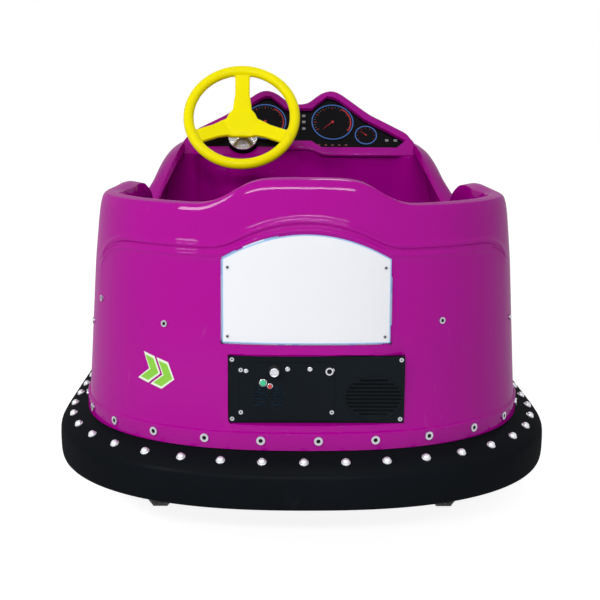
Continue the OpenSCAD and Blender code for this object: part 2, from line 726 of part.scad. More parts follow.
pedal_x = -120;
pedal_y = 262;
pedal_w = 84;
pedal_len = 130;
pedal_t = 6;
pedal_tilt = 42;
pedal_rise = 34;
bracket_w = 40;
module pedal() {
    color(steel_color) translate([pedal_x, pedal_y, frame_z + tube_h + floor_t + pedal_rise])
        rotate([pedal_tilt, 0, 0]) translate([-pedal_w / 2, 0, 0]) cube([pedal_w, pedal_len, pedal_t]);
}
module pedal_bracket() {
    foot_t = 6;
    rest = 24;
    heel = 20;
    toe = 30;
    top = pedal_rise - 4 * seat_gap;
    color(frame_color) translate([pedal_x - bracket_w / 2, pedal_y, floor_z])
        rotate([90, 0, 90]) linear_extrude(bracket_w)
            polygon([[-heel, 0], [rest + toe, 0], [rest + toe, foot_t], [rest, foot_t],
                     [rest, top + rest * tan(pedal_tilt)], [0, top], [0, foot_t], [-heel, foot_t]]);
}

module frame_rails() {
    color(frame_color) intersection() {
        for (side = [-1, 1])
            translate([side * rail_gauge / 2 - tube_w / 2, -car_len / 2, frame_z])
                cube([tube_w, car_len, tube_h]);
        rail_space();
    }
}

cross_y = [rear_y - 160, rear_y + 120, bench_y + 60, 180, knee_low_y, drive_y + 160];
module frame_cross_tubes() {
    inner = rail_gauge - tube_w;
    outer = (car_w - rail_gauge - tube_w) / 2;
    runs = [[-inner / 2, inner], [inner / 2 + tube_w, outer], [-inner / 2 - tube_w - outer, outer]];
    color(frame_color) intersection() {
        for (y = cross_y) for (run = runs)
            translate([run[0], y - tube_h / 2, frame_z]) cube([run[1], tube_h, tube_h]);
        rail_space();
    }
}

battery_y = rear_y + 85;
module battery_tray() {
    margin = 10;
    color(frame_color)
        translate([-rail_gauge / 2, battery_y - battery_len / 2 - margin, frame_z + tube_h + seat_gap])
            cube([rail_gauge, battery_len + 2 * margin, floor_t]);
}
module battery_pack() {
    color(black_color)
        translate([-battery_w / 2, battery_y - battery_len / 2, floor_z])
            cube([battery_w, battery_len, battery_h]);
}

fork_gap = 6;
fork_t = 8;
fork_w = 60;
axle_out = 12;
crown_z = drive_d + 10;
crown_t = 10;
bridge_z = crown_z + crown_t + 22;
bridge_t = 8;
socket_d = kingpin_d + 12;
module drive_bridge() {
    low = frame_z + tube_h + seat_gap;
    color(frame_color) difference() {
        union() {
            translate([-rail_gauge / 2 - tube_w / 2, drive_y - fork_w, bridge_z])
                cube([rail_gauge + tube_w, 2 * fork_w, bridge_t]);
            for (side = [-1, 1])
                translate([side * rail_gauge / 2 - tube_w / 2, drive_y - fork_w, low])
                    cube([tube_w, 2 * fork_w, bridge_z - low]);
        }
        translate([0, drive_y, bridge_z - 1]) cylinder(d = socket_d, h = bridge_t + 2, $fn = 64);
    }
}
module drive_bearing() {
    low = crown_z + crown_t + 6;
    flange = bridge_z - low - seat_gap;
    color(steel_color) translate([0, drive_y, low]) difference() {
        union() {
            cylinder(d = kingpin_d + 40, h = flange, $fn = 64);
            cylinder(d = socket_d - 2 * seat_gap, h = bridge_z - low + bridge_t, $fn = 64);
        }
        translate([0, 0, -1]) cylinder(d = kingpin_d + 2 * run_gap, h = 2 * (bridge_z - low), $fn = 64);
    }
}
module drive_fork() {
    leg_x = drive_w / 2 + fork_gap;
    leg_low = drive_d / 2 - fork_w / 2;
    pin_top = bridge_z + bridge_t;
    color(steel_color) translate([0, drive_y, 0]) difference() {
        union() {
            translate([-leg_x - fork_t, -fork_w / 2, crown_z]) cube([2 * (leg_x + fork_t), fork_w, crown_t]);
            for (side = [-1, 1])
                translate([side * (leg_x + fork_t / 2) - fork_t / 2, -fork_w / 2, leg_low])
                    cube([fork_t, fork_w, crown_z - leg_low + 1]);
            translate([0, 0, crown_z + 1]) cylinder(d = kingpin_d, h = pin_top - crown_z, $fn = 64);
            translate([0, 0, pin_top]) cylinder(d = kingpin_d - 6, h = axle_end + 1, $fn = 64);
        }
        translate([-drive_w - fork_t, 0, drive_d / 2]) rotate([0, 90, 0])
            cylinder(d = axle_d + 2 * run_gap, h = 2 * (drive_w + fork_t), $fn = 48);
    }
}
module drive_axle() {
    half = drive_w / 2 + fork_gap + fork_t + axle_out;
    color(steel_color) translate([-half, drive_y, drive_d / 2]) rotate([0, 90, 0])
        cylinder(d = axle_d, h = 2 * half, $fn = 48);
}
module drive_hub() {
    color(steel_color) translate([0, drive_y, drive_d / 2]) rotate([0, 90, 0]) difference() {
        union() {
            cylinder(d = motor_d, h = drive_w - 4, center = true, $fn = 72);
            cylinder(d = 60, h = drive_w + 4, center = true, $fn = 48);
        }
        cylinder(d = axle_d + 2 * run_gap, h = drive_w + 20, center = true, $fn = 48);
    }
}
module tyre(outer, inner, wide, round) {
    rotate([0, 90, 0]) rotate_extrude($fn = 72)
        polygon([[inner / 2, -wide / 2 + 2], [outer / 2 - round, -wide / 2], [outer / 2, -wide / 2 + round],
                 [outer / 2, wide / 2 - round], [outer / 2 - round, wide / 2], [inner / 2, wide / 2 - 2]]);
}
module drive_tyre() {
    color(rubber_color) translate([0, drive_y, drive_d / 2])
        tyre(drive_d, motor_d + 2 * seat_gap, drive_w, 9);
}

hub_extra = 10;
module rear_axle() {
    half = (rear_track + rear_w + hub_extra) / 2 + 2;
    color(steel_color) translate([0, rear_y, rear_d / 2]) rotate([0, 90, 0]) union() {
        translate([0, 0, -half]) cylinder(d = axle_d, h = 2 * half, $fn = 48);
        translate([0, 0, -half - axle_end]) cylinder(d = axle_end_d, h = 2 * (half + axle_end), $fn = 48);
    }
}
module axle_blocks() {
    block = 3 * axle_d;
    low = rear_d / 2 - 0.9 * axle_d;
    color(frame_color) for (side = [-1, 1]) translate([side * rail_gauge / 2, rear_y, 0]) difference() {
        translate([-tube_w / 2, -block / 2, low]) cube([tube_w, block, frame_z - low - seat_gap]);
        translate([-tube_w, 0, rear_d / 2]) rotate([0, 90, 0])
            cylinder(d = axle_d + 2 * run_gap, h = 2 * tube_w, $fn = 48);
    }
}
module rear_rim(side) {
    color(steel_color) translate([side * rear_track / 2, rear_y, rear_d / 2]) rotate([0, 90, 0])
        difference() {
            union() {
                cylinder(d = rear_rim_d, h = rear_w - hub_extra, center = true, $fn = 64);
                cylinder(d = 2.2 * axle_d, h = rear_w + hub_extra, center = true, $fn = 48);
            }
            cylinder(d = axle_d + 2 * run_gap, h = rear_w + 2 * hub_extra, center = true, $fn = 48);
        }
}
module rear_tyre(side) {
    color(rubber_color) translate([side * rear_track / 2, rear_y, rear_d / 2])
        tyre(rear_d, rear_rim_d + 2 * seat_gap, rear_w, 8);
}

rubber_bumper();
bumper_rail();
heel_shell();
toe_shell();
dash_cowl();
dash_panel();
gauge_rings();
gauge_faces();
knee_panel();
floor_pan();
seat_bench();
seat_cushion();
back_cushion();
sign_plate();
control_panel();
panel_knob();
panel_buttons();
column_cap();
column_tube();
steering_wheel();
steering_shaft();
pedal();
pedal_bracket();
frame_rails();
frame_cross_tubes();
battery_tray();
battery_pack();
drive_bridge();
drive_bearing();
drive_fork();
drive_axle();
drive_hub();
drive_tyre();
rear_axle();
axle_blocks();
rear_rim(-1);  // rear_rim_left
rear_tyre(-1);  // rear_tyre_left
rear_rim(1);  // rear_rim_right
rear_tyre(1);  // rear_tyre_right
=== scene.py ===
import math

import bmesh
import bpy
from mathutils import Matrix, Vector


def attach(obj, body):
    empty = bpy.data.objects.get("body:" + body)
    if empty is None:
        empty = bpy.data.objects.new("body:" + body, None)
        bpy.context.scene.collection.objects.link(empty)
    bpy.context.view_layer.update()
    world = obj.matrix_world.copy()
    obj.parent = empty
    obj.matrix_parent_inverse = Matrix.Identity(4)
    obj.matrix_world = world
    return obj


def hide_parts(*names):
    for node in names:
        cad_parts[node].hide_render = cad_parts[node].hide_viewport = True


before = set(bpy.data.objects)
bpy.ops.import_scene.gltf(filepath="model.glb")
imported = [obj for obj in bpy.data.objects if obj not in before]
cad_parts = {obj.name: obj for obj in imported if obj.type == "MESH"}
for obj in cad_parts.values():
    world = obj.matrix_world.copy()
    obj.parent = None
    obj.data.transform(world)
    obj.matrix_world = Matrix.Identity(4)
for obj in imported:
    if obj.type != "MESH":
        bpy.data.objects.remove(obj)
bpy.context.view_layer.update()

MM = 0.001
MERGE_GAP = 0.00003
# Heights and places in mm, as in the CAD source
FOOT_LINE = 171
TRAY_EDGE = 230.5
COLUMN_AT, COLUMN_TILT = (-165, 150, 880), 58
DRIVE_WHEEL_AT = (0, 600, 125)
REAR_WHEEL_X, REAR_AXLE = 330, (-560, 100)


def mm(*values):
    return Vector([v * MM for v in values])


def set_in(x, y, z, tilt=0.0):
    """A place in the car: a point in mm, with the piece's own z axis tipped towards the rear."""
    return Matrix.Translation(mm(x, y, z)) @ Matrix.Rotation(math.radians(tilt), 4, "X")


DASH = set_in(0, 240, 768, 53)
PANEL = set_in(-160, -834.6, 285, 90)


def let_go():
    if bpy.context.mode != "OBJECT":
        bpy.ops.object.mode_set(mode="OBJECT")
    bpy.ops.object.select_all(action="DESELECT")


def hold(piece):
    let_go()
    piece.select_set(True)
    bpy.context.view_layer.objects.active = piece
    return piece


def work(piece):
    hold(piece)
    bpy.ops.object.mode_set(mode="EDIT")


def started(name):
    piece = bpy.context.object
    piece.name = piece.data.name = name
    return piece


def sized(name, *size):
    """Names the primitive of size 1 that was just added, and gives it its size in mm."""
    piece = hold(started(name))
    piece.dimensions = mm(*size)
    bpy.ops.object.transform_apply(location=False, rotation=False, scale=True)
    return piece


def block(name, *size):
    bpy.ops.mesh.primitive_cube_add(size=1, location=(0, 0, 0))
    return sized(name, *size)


def pick(kind, test):
    """Selects the faces, edges or points of the piece in hand whose middle and direction pass the test.

    Both are in the piece's own coordinates, not the world's."""
    bpy.ops.mesh.select_mode(type=kind)
    bpy.ops.mesh.select_all(action="DESELECT")
    cage = bmesh.from_edit_mesh(bpy.context.edit_object.data)
    cage.normal_update()
    if kind == "FACE":
        for face in cage.faces:
            face.select_set(bool(test(face.calc_center_median(), face.normal)))
    elif kind == "EDGE":
        for edge in cage.edges:
            a, b = (v.co for v in edge.verts)
            edge.select_set(bool(test((a + b) / 2, b - a)))
    else:
        for vert in cage.verts:
            vert.select_set(bool(test(vert.co, vert.normal)))
    cage.select_flush_mode()
    bmesh.update_edit_mesh(bpy.context.edit_object.data)


def slide(x, y, z):
    bpy.ops.transform.translate(value=(x * MM, y * MM, z * MM))


def extrude(x, y, z):
    bpy.ops.mesh.extrude_region_move(TRANSFORM_OT_translate={"value": (x * MM, y * MM, z * MM)})


def inset(thickness, depth=0.0, each=False):
    bpy.ops.mesh.inset(thickness=thickness * MM, depth=depth * MM, use_individual=each)


def round_edges(width, segments=2):
    bpy.ops.mesh.bevel(offset=width * MM, segments=segments, affect="EDGES")


def place(piece, matrix):
    """Puts a piece made at the origin into its place, and leaves the place in its mesh."""
    hold(piece)
    piece.matrix_world = matrix @ piece.matrix_world
    bpy.ops.object.transform_apply(location=True, rotation=True, scale=True)
    return piece


def soften(piece, angle=40):
    hold(piece)
    bpy.ops.object.shade_smooth_by_angle(angle=math.radians(angle))
    return piece


def modified(piece, kind, **settings):
    hold(piece)
    step = piece.modifiers.new(kind.lower(), kind)
    for key, value in settings.items():
        setattr(step, key, value)
    bpy.ops.object.modifier_apply(modifier=step.name)
    return piece


def dress(piece, body, *finishes):
    """Gives the piece its body and its finishes; faces already assigned keep their slot."""
    if piece.data.materials:
        for i, finish in enumerate(finishes):
            if i < len(piece.data.materials):
                piece.data.materials[i] = finish
            else:
                piece.data.materials.append(finish)
    else:
        for finish in finishes:
            piece.data.materials.append(finish)
    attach(piece, body)
    return piece


def joined(pieces, name):
    let_go()
    for piece in pieces:
        piece.select_set(True)
    bpy.context.view_layer.objects.active = pieces[0]
    bpy.ops.object.join()
    return started(name)


def copied(master, matrix, name):
    piece = master.copy()
    piece.data = master.data.copy()
    piece.name = piece.data.name = name
    bpy.context.scene.collection.objects.link(piece)
    piece.data.transform(matrix)
    return piece


def repeated(master, places, name):
    """Copies the master to every place, removes it, and joins the copies into one piece on the origin."""
    made = [copied(master, matrix, f"{name}_{i}") for i, matrix in enumerate(places)]
    bpy.data.objects.remove(master)
    return place(joined(made, name), Matrix.Identity(4))


def second_finish():
    """Gives the faces that are selected the piece's second finish."""
    piece = bpy.context.edit_object
    while len(piece.material_slots) < 2:
        bpy.ops.object.material_slot_add()
    piece.active_material_index = 1
    bpy.ops.object.material_slot_assign()


def turned(name, profile, steps=48):
    """A piece turned on a lathe: the profile, points of (radius, height) in mm, spun about the z axis."""
    (r, z), rest = profile[0], profile[1:]
    bpy.ops.mesh.primitive_plane_add(size=0.001, location=(0, 0, 0))
    piece = started(name)
    work(piece)
    bpy.ops.mesh.select_mode(type="VERT")
    bpy.ops.mesh.select_all(action="SELECT")
    bpy.ops.mesh.merge(type="CENTER")
    slide(r, 0, z)
    for nr, nz in rest:
        extrude(nr - r, 0, nz - z)
        r, z = nr, nz
    bpy.ops.mesh.select_all(action="SELECT")
    bpy.ops.mesh.spin(steps=steps, angle=2 * math.pi, center=(0, 0, 0), axis=(0, 0, 1))
    bpy.ops.mesh.select_all(action="SELECT")
    bpy.ops.mesh.remove_doubles(threshold=0.00002)
    bpy.ops.mesh.dissolve_degenerate(threshold=0.00001)
    bpy.ops.mesh.select_all(action="SELECT")
    bpy.ops.mesh.normals_make_consistent(inside=False)
    bpy.ops.object.mode_set(mode="OBJECT")
    return piece


def cad_copy(node, name):
    """A merged copy of a CAD node's mesh, to be worked on as a new piece."""
    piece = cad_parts[node].copy()
    piece.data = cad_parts[node].data.copy()
    piece.name = piece.data.name = name
    piece.parent = None
    for key in list(piece.keys()):
        del piece[key]
    bpy.context.scene.collection.objects.link(piece)
    piece.data.materials.clear()
    work(piece)
    bpy.ops.mesh.select_all(action="SELECT")
    bpy.ops.mesh.customdata_custom_splitnormals_clear()
    bpy.ops.mesh.remove_doubles(threshold=MERGE_GAP)
    bpy.ops.mesh.tris_convert_to_quads(face_threshold=math.radians(50),
                                       shape_threshold=math.radians(60))
    bpy.ops.object.mode_set(mode="OBJECT")
    return piece


def moulding(node, name, sharp=52, crease=0.9, levels=2, firm_below=None):
    """A CAD moulding with its facets rounded into one smooth surface, and its sharp edges kept.

    Edges below firm_below, in mm, keep their place, so that the foot isn't drawn up."""
    piece = cad_copy(node, name)
    work(piece)
    bpy.ops.mesh.select_mode(type="EDGE")
    bpy.ops.mesh.select_all(action="DESELECT")
    bpy.ops.mesh.edges_select_sharp(sharpness=math.radians(sharp))
    bpy.ops.transform.edge_crease(value=crease)
    if firm_below:
        pick("EDGE", lambda middle, along: middle.z < firm_below * MM)
        bpy.ops.transform.edge_crease(value=1.0)
    bpy.ops.object.mode_set(mode="OBJECT")
    modified(piece, "SUBSURF", levels=levels, render_levels=levels)
    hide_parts(node)
    return soften(piece, 38)


def eased(node, width, finish, segments=2):
    """Rounds the edges of a CAD node with live modifiers and gives it its finish."""
    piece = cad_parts[node]
    piece.modifiers.new("weld", "WELD").merge_threshold = MERGE_GAP
    edge = piece.modifiers.new("edges", "BEVEL")
    edge.width = width * MM
    edge.segments = segments
    edge.limit_method = "ANGLE"
    edge.angle_limit = math.radians(35)
    piece.modifiers.new("normals", "WEIGHTED_NORMAL").keep_sharp = False
    paint(node, finish)


def paint(node, finish):
    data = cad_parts[node].data
    data.materials.clear()
    data.materials.append(finish)


# Finishes

def colour(r, g, b):
    def straight(v):
        v = v / 255
        return v / 12.92 if v <= 0.04045 else ((v + 0.055) / 1.055) ** 2.4
    return (straight(r), straight(g), straight(b), 1.0)


def node_in(tree, kind, **settings):
    new = tree.nodes.new(kind)
    for key, value in settings.items():
        setattr(new, key, value)
    return new


def feed(tree, source, target):
    tree.links.new(source, target)


def plug(tree, value, socket):
    """Sets a socket to a number or colour, or links another node's output to it."""
    if isinstance(value, (int, float, tuple)):
        socket.default_value = value
    else:
        feed(tree, value, socket)


def sums(tree, operation, a, b=None, c=None, clamp=False):
    new = node_in(tree, "ShaderNodeMath", operation=operation, use_clamp=clamp)
    for socket, value in zip(new.inputs, (a, b, c)):
        if value is not None:
            plug(tree, value, socket)
    return new.outputs[0]


def blend_colours(tree, amount, a, b):
    new = node_in(tree, "ShaderNodeMix", data_type="RGBA")
    for index, value in ((0, amount), (6, a), (7, b)):
        plug(tree, value, new.inputs[index])
    return new.outputs[2]


def noise(tree, where, scale, detail):
    new = node_in(tree, "ShaderNodeTexNoise")
    new.inputs["Detail"].default_value = detail
    feed(tree, where, new.inputs["Vector"])
    plug(tree, scale, new.inputs["Scale"])
    return new.outputs[0]


def seen_directly(tree):
    """1 for rays from the camera, or that glossy and clear surfaces send on, and 0 for the rest."""
    path = node_in(tree, "ShaderNodeLightPath")
    sharp = sums(tree, "MAXIMUM", path.outputs["Is Camera Ray"], path.outputs["Is Glossy Ray"])
    return sums(tree, "MAXIMUM", sharp, path.outputs["Is Transmission Ray"])


def new_group(name, inputs, outputs):
    tree = bpy.data.node_groups.new(name, "ShaderNodeTree")
    for label, kind, value in inputs:
        socket = tree.interface.new_socket(label, in_out="INPUT", socket_type=kind)
        socket.default_value = value
    for label, kind in outputs:
        tree.interface.new_socket(label, in_out="OUTPUT", socket_type=kind)
    return tree, node_in(tree, "NodeGroupInput").outputs, node_in(tree, "NodeGroupOutput").inputs


def surface_group():
    """Fine grain, slow colour drift, scuffs and dust for every hard surface."""
    tree, given, out = new_group("hard_surface", [
        ("Colour", "NodeSocketColor", (0.5, 0.5, 0.5, 1)), ("Drift", "NodeSocketFloat", 0.06),
        ("Gloss", "NodeSocketFloat", 0.3), ("Grain Size", "NodeSocketFloat", 300.0),
        ("Grain", "NodeSocketFloat", 0.2), ("Scuffs", "NodeSocketFloat", 0.3),
        ("Scuff Colour", "NodeSocketColor", (0.5, 0.5, 0.5, 1)), ("Dust", "NodeSocketFloat", 0.2),
        ("Dust Colour", "NodeSocketColor", (0.5, 0.47, 0.42, 1))],
        [("Colour", "NodeSocketColor"), ("Roughness", "NodeSocketFloat"), ("Height", "NodeSocketFloat")])
    spot = node_in(tree, "ShaderNodeTexCoord").outputs["Object"]
    drift = sums(tree, "SUBTRACT", noise(tree, spot, 3.2, 3), 0.5)
    shade = node_in(tree, "ShaderNodeHueSaturation")
    feed(tree, sums(tree, "MULTIPLY_ADD", drift, given["Drift"], 1.0), shade.inputs["Value"])
    feed(tree, given["Colour"], shade.inputs["Color"])
    grain = noise(tree, spot, given["Grain Size"], 2)
    stretch = node_in(tree, "ShaderNodeMapping")
    stretch.inputs["Rotation"].default_value = (0.3, 0.5, 0.7)
    stretch.inputs["Scale"].default_value = (14, 150, 9)
    feed(tree, spot, stretch.inputs["Vector"])
    patches = noise(tree, spot, 7.0, 5)
    line = sums(tree, "MULTIPLY_ADD", noise(tree, stretch.outputs[0], 1.0, 4), 14.0, -9.1, clamp=True)
    patch = sums(tree, "MULTIPLY_ADD", patches, 7.0, -3.6, clamp=True)
    scuff = sums(tree, "MULTIPLY", sums(tree, "MULTIPLY", line, patch), given["Scuffs"], clamp=True)
    facing = node_in(tree, "ShaderNodeSeparateXYZ")
    feed(tree, node_in(tree, "ShaderNodeNewGeometry").outputs["Normal"], facing.inputs[0])
    up = sums(tree, "MULTIPLY_ADD", facing.outputs[2], 0.8, 0.2, clamp=True)
    haze = sums(tree, "MULTIPLY_ADD", patches, 0.8, 0.1, clamp=True)
    dust = sums(tree, "MULTIPLY", sums(tree, "MULTIPLY", up, haze), given["Dust"], clamp=True)
    with_scuffs = blend_colours(tree, scuff, shade.outputs[0], given["Scuff Colour"])
    feed(tree, blend_colours(tree, dust, with_scuffs, given["Dust Colour"]), out["Colour"])
    rough = sums(tree, "ADD", given["Gloss"], sums(tree, "MULTIPLY", scuff, 0.35))
    rough = sums(tree, "ADD", rough, sums(tree, "MULTIPLY", dust, 0.5))
    feed(tree, sums(tree, "MULTIPLY_ADD", drift, 0.08, rough, clamp=True), out["Roughness"])
    feed(tree, sums(tree, "SUBTRACT", sums(tree, "MULTIPLY", grain, given["Grain"]),
                    sums(tree, "MULTIPLY", scuff, 0.25)), out["Height"])
    return tree


HARD = surface_group()
MID_GREY = (0.5, 0.5, 0.5, 1)


def finish_of(name, slot, tint, gloss, drift=0.06, grain=0.2, grain_size=300.0, depth=0.0002, scuffs=0.3,
              scuff_tint=None, dust=0.15, metal=0.0, coat=0.0, coat_rough=0.05, specular=0.5):
    """A hard surface; tints are given as they look on a screen, 0 to 255, and depth in metres."""
    scuffed = colour(*scuff_tint) if scuff_tint else MID_GREY
    made = bpy.data.materials.new(name)
    made.use_nodes = True
    made["record_slot"] = slot
    tree = made.node_tree
    shader = tree.nodes["Principled BSDF"]
    shader.inputs["Metallic"].default_value = metal
    shader.inputs["Coat Weight"].default_value = coat
    shader.inputs["Coat Roughness"].default_value = coat_rough
    shader.inputs["Specular IOR Level"].default_value = specular
    cover = node_in(tree, "ShaderNodeGroup", node_tree=HARD)
    for key, value in (("Colour", colour(*tint)), ("Drift", drift), ("Gloss", gloss), ("Grain", grain),
                       ("Grain Size", grain_size), ("Scuffs", scuffs), ("Scuff Colour", scuffed),
                       ("Dust", dust)):
        cover.inputs[key].default_value = value
    feed(tree, cover.outputs["Colour"], shader.inputs["Base Color"])
    feed(tree, cover.outputs["Roughness"], shader.inputs["Roughness"])
    bump = node_in(tree, "ShaderNodeBump")
    bump.inputs["Strength"].default_value = 1.0
    bump.inputs["Distance"].default_value = depth
    feed(tree, cover.outputs["Height"], bump.inputs["Height"])
    feed(tree, bump.outputs[0], shader.inputs["Normal"])
    return made


body_gloss = finish_of("body_gloss", "body_gloss", (166, 1, 142), 0.13, drift=0.10, grain=0.5,
                       grain_size=45, depth=0.00035, scuffs=0.10, scuff_tint=(214, 120, 200), dust=0.0,
                       coat=0.23, coat_rough=0.03, specular=0.0)
inner_gloss = finish_of("inner_gloss", "body_gloss", (170, 2, 146), 0.30, drift=0.12, grain=0.6,
                        grain_size=70, depth=0.0005, scuffs=0.2, scuff_tint=(196, 110, 184), dust=0.01,
                        coat=0.16, coat_rough=0.05, specular=0.0)
bumper_rubber = finish_of("bumper_rubber", "bumper_rubber", (15, 18, 22), 0.50, drift=0.5, grain=0.7,
                          grain_size=420, depth=0.0003, scuffs=0.45, scuff_tint=(36, 39, 43), dust=0.004,
                          coat=0.04, coat_rough=0.35, specular=0.0)
tread_rubber = finish_of("tread_rubber", "tyre_rubber", (30, 31, 32), 0.62, drift=0.6, grain=0.8,
                         grain_size=520, depth=0.0003, scuffs=0.5, scuff_tint=(76, 74, 72), dust=0.2,
                         specular=0.25)
zinc_steel = finish_of("zinc_steel", "zinc_steel", (196, 198, 204), 0.26, drift=0.25, grain=0.5,
                       grain_size=260, depth=0.0001, scuffs=0.4, scuff_tint=(120, 116, 112), dust=0.12,
                       metal=1.0)
bright_steel = finish_of("bright_steel", "zinc_steel", (184, 186, 192), 0.3, drift=0.12, grain=0.3,
                         grain_size=300, depth=0.00005, scuffs=0.15, scuff_tint=(150, 148, 150), dust=0.02,
                         metal=0.95)
# Painted highlight: a near-white, half-matte copy of the bolt steel, so the bumper's domed bolts look bright
# instead of mirroring the magenta body
bumper_steel_painted_highlight = finish_of("bumper_steel_painted_highlight", "zinc_steel", (226, 227, 232), 0.34, drift=0.12, grain=0.3,
                         grain_size=300, depth=0.00005, scuffs=0.15, scuff_tint=(150, 148, 150), dust=0.02,
                         metal=0.55)
frame_paint = finish_of("frame_paint", "frame_paint", (44, 46, 48), 0.42, drift=0.4, grain=0.7,
                        grain_size=180, depth=0.0003, scuffs=0.6, scuff_tint=(116, 100, 88), dust=0.3)
panel_black = finish_of("panel_black", "panel_black", (22, 27, 31), 0.36, drift=0.4, grain=0.8,
                        grain_size=900, depth=0.00012, scuffs=0.25, scuff_tint=(60, 62, 64), dust=0.01,
                        coat=0.04, coat_rough=0.2, specular=0.0)
dash_black = finish_of("dash_black", "panel_black", (8, 6, 10), 0.16, drift=0.3, grain=0.3, grain_size=120,
                       depth=0.0001, scuffs=0.10, scuff_tint=(30, 28, 34), dust=0.004, coat=0.05,
                       specular=0.04)
# Black plastic for the knob skirt, socket core and speaker cloth; on bolt, screw and rivet heads it is painted
# shade on the floor of the socket recess
black_insert_and_socket_shade = finish_of("black_insert_and_socket_shade", "panel_black", (15, 16, 19), 0.6, drift=0.3, grain=0.5, dust=0.04,
                      specular=0.1)
wheel_yellow = finish_of("wheel_yellow", "wheel_yellow", (255, 242, 0), 0.26, drift=0.05, grain=0.5,
                         grain_size=60, depth=0.0002, scuffs=0.12, scuff_tint=(226, 204, 60), dust=0.0,
                         coat=0.08, specular=0.05)
sign_white = finish_of("sign_white", "sign_white", (228, 230, 235), 0.22, drift=0.03, grain=0.3,
                       grain_size=90, depth=0.0001, scuffs=0.15, scuff_tint=(190, 190, 194), dust=0.04,
                       coat=0.2)
sign_edge = finish_of("sign_edge", "sign_white", (150, 184, 226), 0.3, drift=0.05, dust=0.02)
# Painted light: a far lighter blue than the vents show, so that the blue still reads from the shade behind the
# slots
vent_blue_painted_light = finish_of("vent_blue_painted_light", "panel_black", (110, 190, 255), 0.4, drift=0.3, dust=0.03)
ring_blue = finish_of("ring_blue", "gauge_ring", (64, 104, 176), 0.22, drift=0.1, grain=0.2, dust=0.02,
                      metal=0.6)
dial_black = finish_of("dial_black", "gauge_face", (9, 8, 13), 0.2, drift=0.2, grain=0.3, dust=0.004,
                       coat=0.05, specular=0.04)
dial_red = finish_of("dial_red", "gauge_face", (186, 22, 30), 0.35, drift=0.1, dust=0.0, scuffs=0.05)
dial_dim = finish_of("dial_dim", "gauge_face", (104, 14, 30), 0.4, drift=0.05, dust=0.0, scuffs=0.05)
dial_white = finish_of("dial_white", "gauge_face", (128, 128, 134), 0.4, drift=0.05, dust=0.0, scuffs=0.05)
battery_case = finish_of("battery_case", "battery_case", (30, 32, 34), 0.48, drift=0.3, grain=0.8,
                         grain_size=380, depth=0.0003, scuffs=0.4, scuff_tint=(84, 84, 84), dust=0.3)
button_green = finish_of("button_green", "zinc_steel", (10, 190, 130), 0.25, drift=0.1, dust=0.05, coat=0.4)
button_red = finish_of("button_red", "zinc_steel", (200, 24, 30), 0.25, drift=0.1, dust=0.05, coat=0.4)
decal_green = finish_of("decal_green", "sign_white", (128, 196, 48), 0.3, drift=0.08, dust=0.03, scuffs=0.2,
                        scuff_tint=(150, 200, 140))
decal_pale = finish_of("decal_pale", "sign_white", (226, 236, 214), 0.3, drift=0.08, dust=0.03, scuffs=0.2,
                       scuff_tint=(190, 190, 180))


def vinyl_finish():
    """Black grained vinyl: a small cell grain, slow drift and dust in the folds."""
    made = finish_of("pad_vinyl", "pad_vinyl", (30, 30, 32), 0.40, drift=0.4, grain=0.4, grain_size=700,
                     depth=0.0004, scuffs=0.35, scuff_tint=(70, 70, 72), dust=0.16)
    tree = made.node_tree
    cover = [n for n in tree.nodes if n.type == "GROUP"][0]
    bump = [n for n in tree.nodes if n.type == "BUMP"][0]
    cells = node_in(tree, "ShaderNodeTexVoronoi", feature="DISTANCE_TO_EDGE")
    cells.inputs["Scale"].default_value = 260
    feed(tree, node_in(tree, "ShaderNodeTexCoord").outputs["Object"], cells.inputs["Vector"])
    pebble = sums(tree, "MULTIPLY", cells.outputs["Distance"], 2.2, clamp=True)
    feed(tree, sums(tree, "ADD", cover.outputs["Height"], pebble), bump.inputs["Height"])
    return made


pad_vinyl = vinyl_finish()


def turned_metal_finish():
    """Polished metal with the fine rings of a lathe round the steering column."""
    made = finish_of("polished_cap", "polished_cap", (176, 174, 174), 0.17, drift=0.2, grain=0.2, dust=0.04,
                     scuffs=0.1, metal=1.0)
    tree = made.node_tree
    cover = [n for n in tree.nodes if n.type == "GROUP"][0]
    bump = [n for n in tree.nodes if n.type == "BUMP"][0]
    centre = node_in(tree, "ShaderNodeMapping", vector_type="TEXTURE")
    centre.inputs["Location"].default_value = mm(*COLUMN_AT)
    centre.inputs["Rotation"].default_value = (math.radians(COLUMN_TILT), 0, 0)
    feed(tree, node_in(tree, "ShaderNodeTexCoord").outputs["Object"], centre.inputs["Vector"])
    rings = node_in(tree, "ShaderNodeTexWave", wave_type="RINGS", rings_direction="Z")
    rings.inputs["Scale"].default_value = 320
    rings.inputs["Distortion"].default_value = 0.4
    feed(tree, centre.outputs[0], rings.inputs["Vector"])
    ridges = sums(tree, "MULTIPLY", rings.outputs["Fac"], 0.8)
    feed(tree, sums(tree, "ADD", cover.outputs["Height"], ridges), bump.inputs["Height"])
    bump.inputs["Distance"].default_value = 0.00012
    return made


polished_cap = turned_metal_finish()

# Outline of the car in plan, as in the source

HALF_W, REAR_Y, FRONT_Y, REAR_BOW, FRONT_BOW, POWER = 575, -412, 325, 513, 600, 2.4


def outline(inset_mm, count=720):
    """Points of (x, y) in mm once round the car from the middle of the rear, to the right."""
    def bow(x_sign, y_sign, middle, reach, angles):
        for u in angles:
            s, c = abs(math.sin(u)) ** (2 / POWER), abs(math.cos(u)) ** (2 / POWER)
            yield (x_sign * (HALF_W - inset_mm) * s, middle + y_sign * (reach - inset_mm) * c)
    quarter = [math.pi / 2 * i / (count // 4) for i in range(count // 4 + 1)]
    points = list(bow(1, -1, REAR_Y, REAR_BOW, quarter))
    points += list(bow(1, 1, FRONT_Y, FRONT_BOW, reversed(quarter)))
    points += list(bow(-1, 1, FRONT_Y, FRONT_BOW, quarter[1:]))
    points += list(bow(-1, -1, REAR_Y, REAR_BOW, reversed(quarter)))
    return points[:-1]


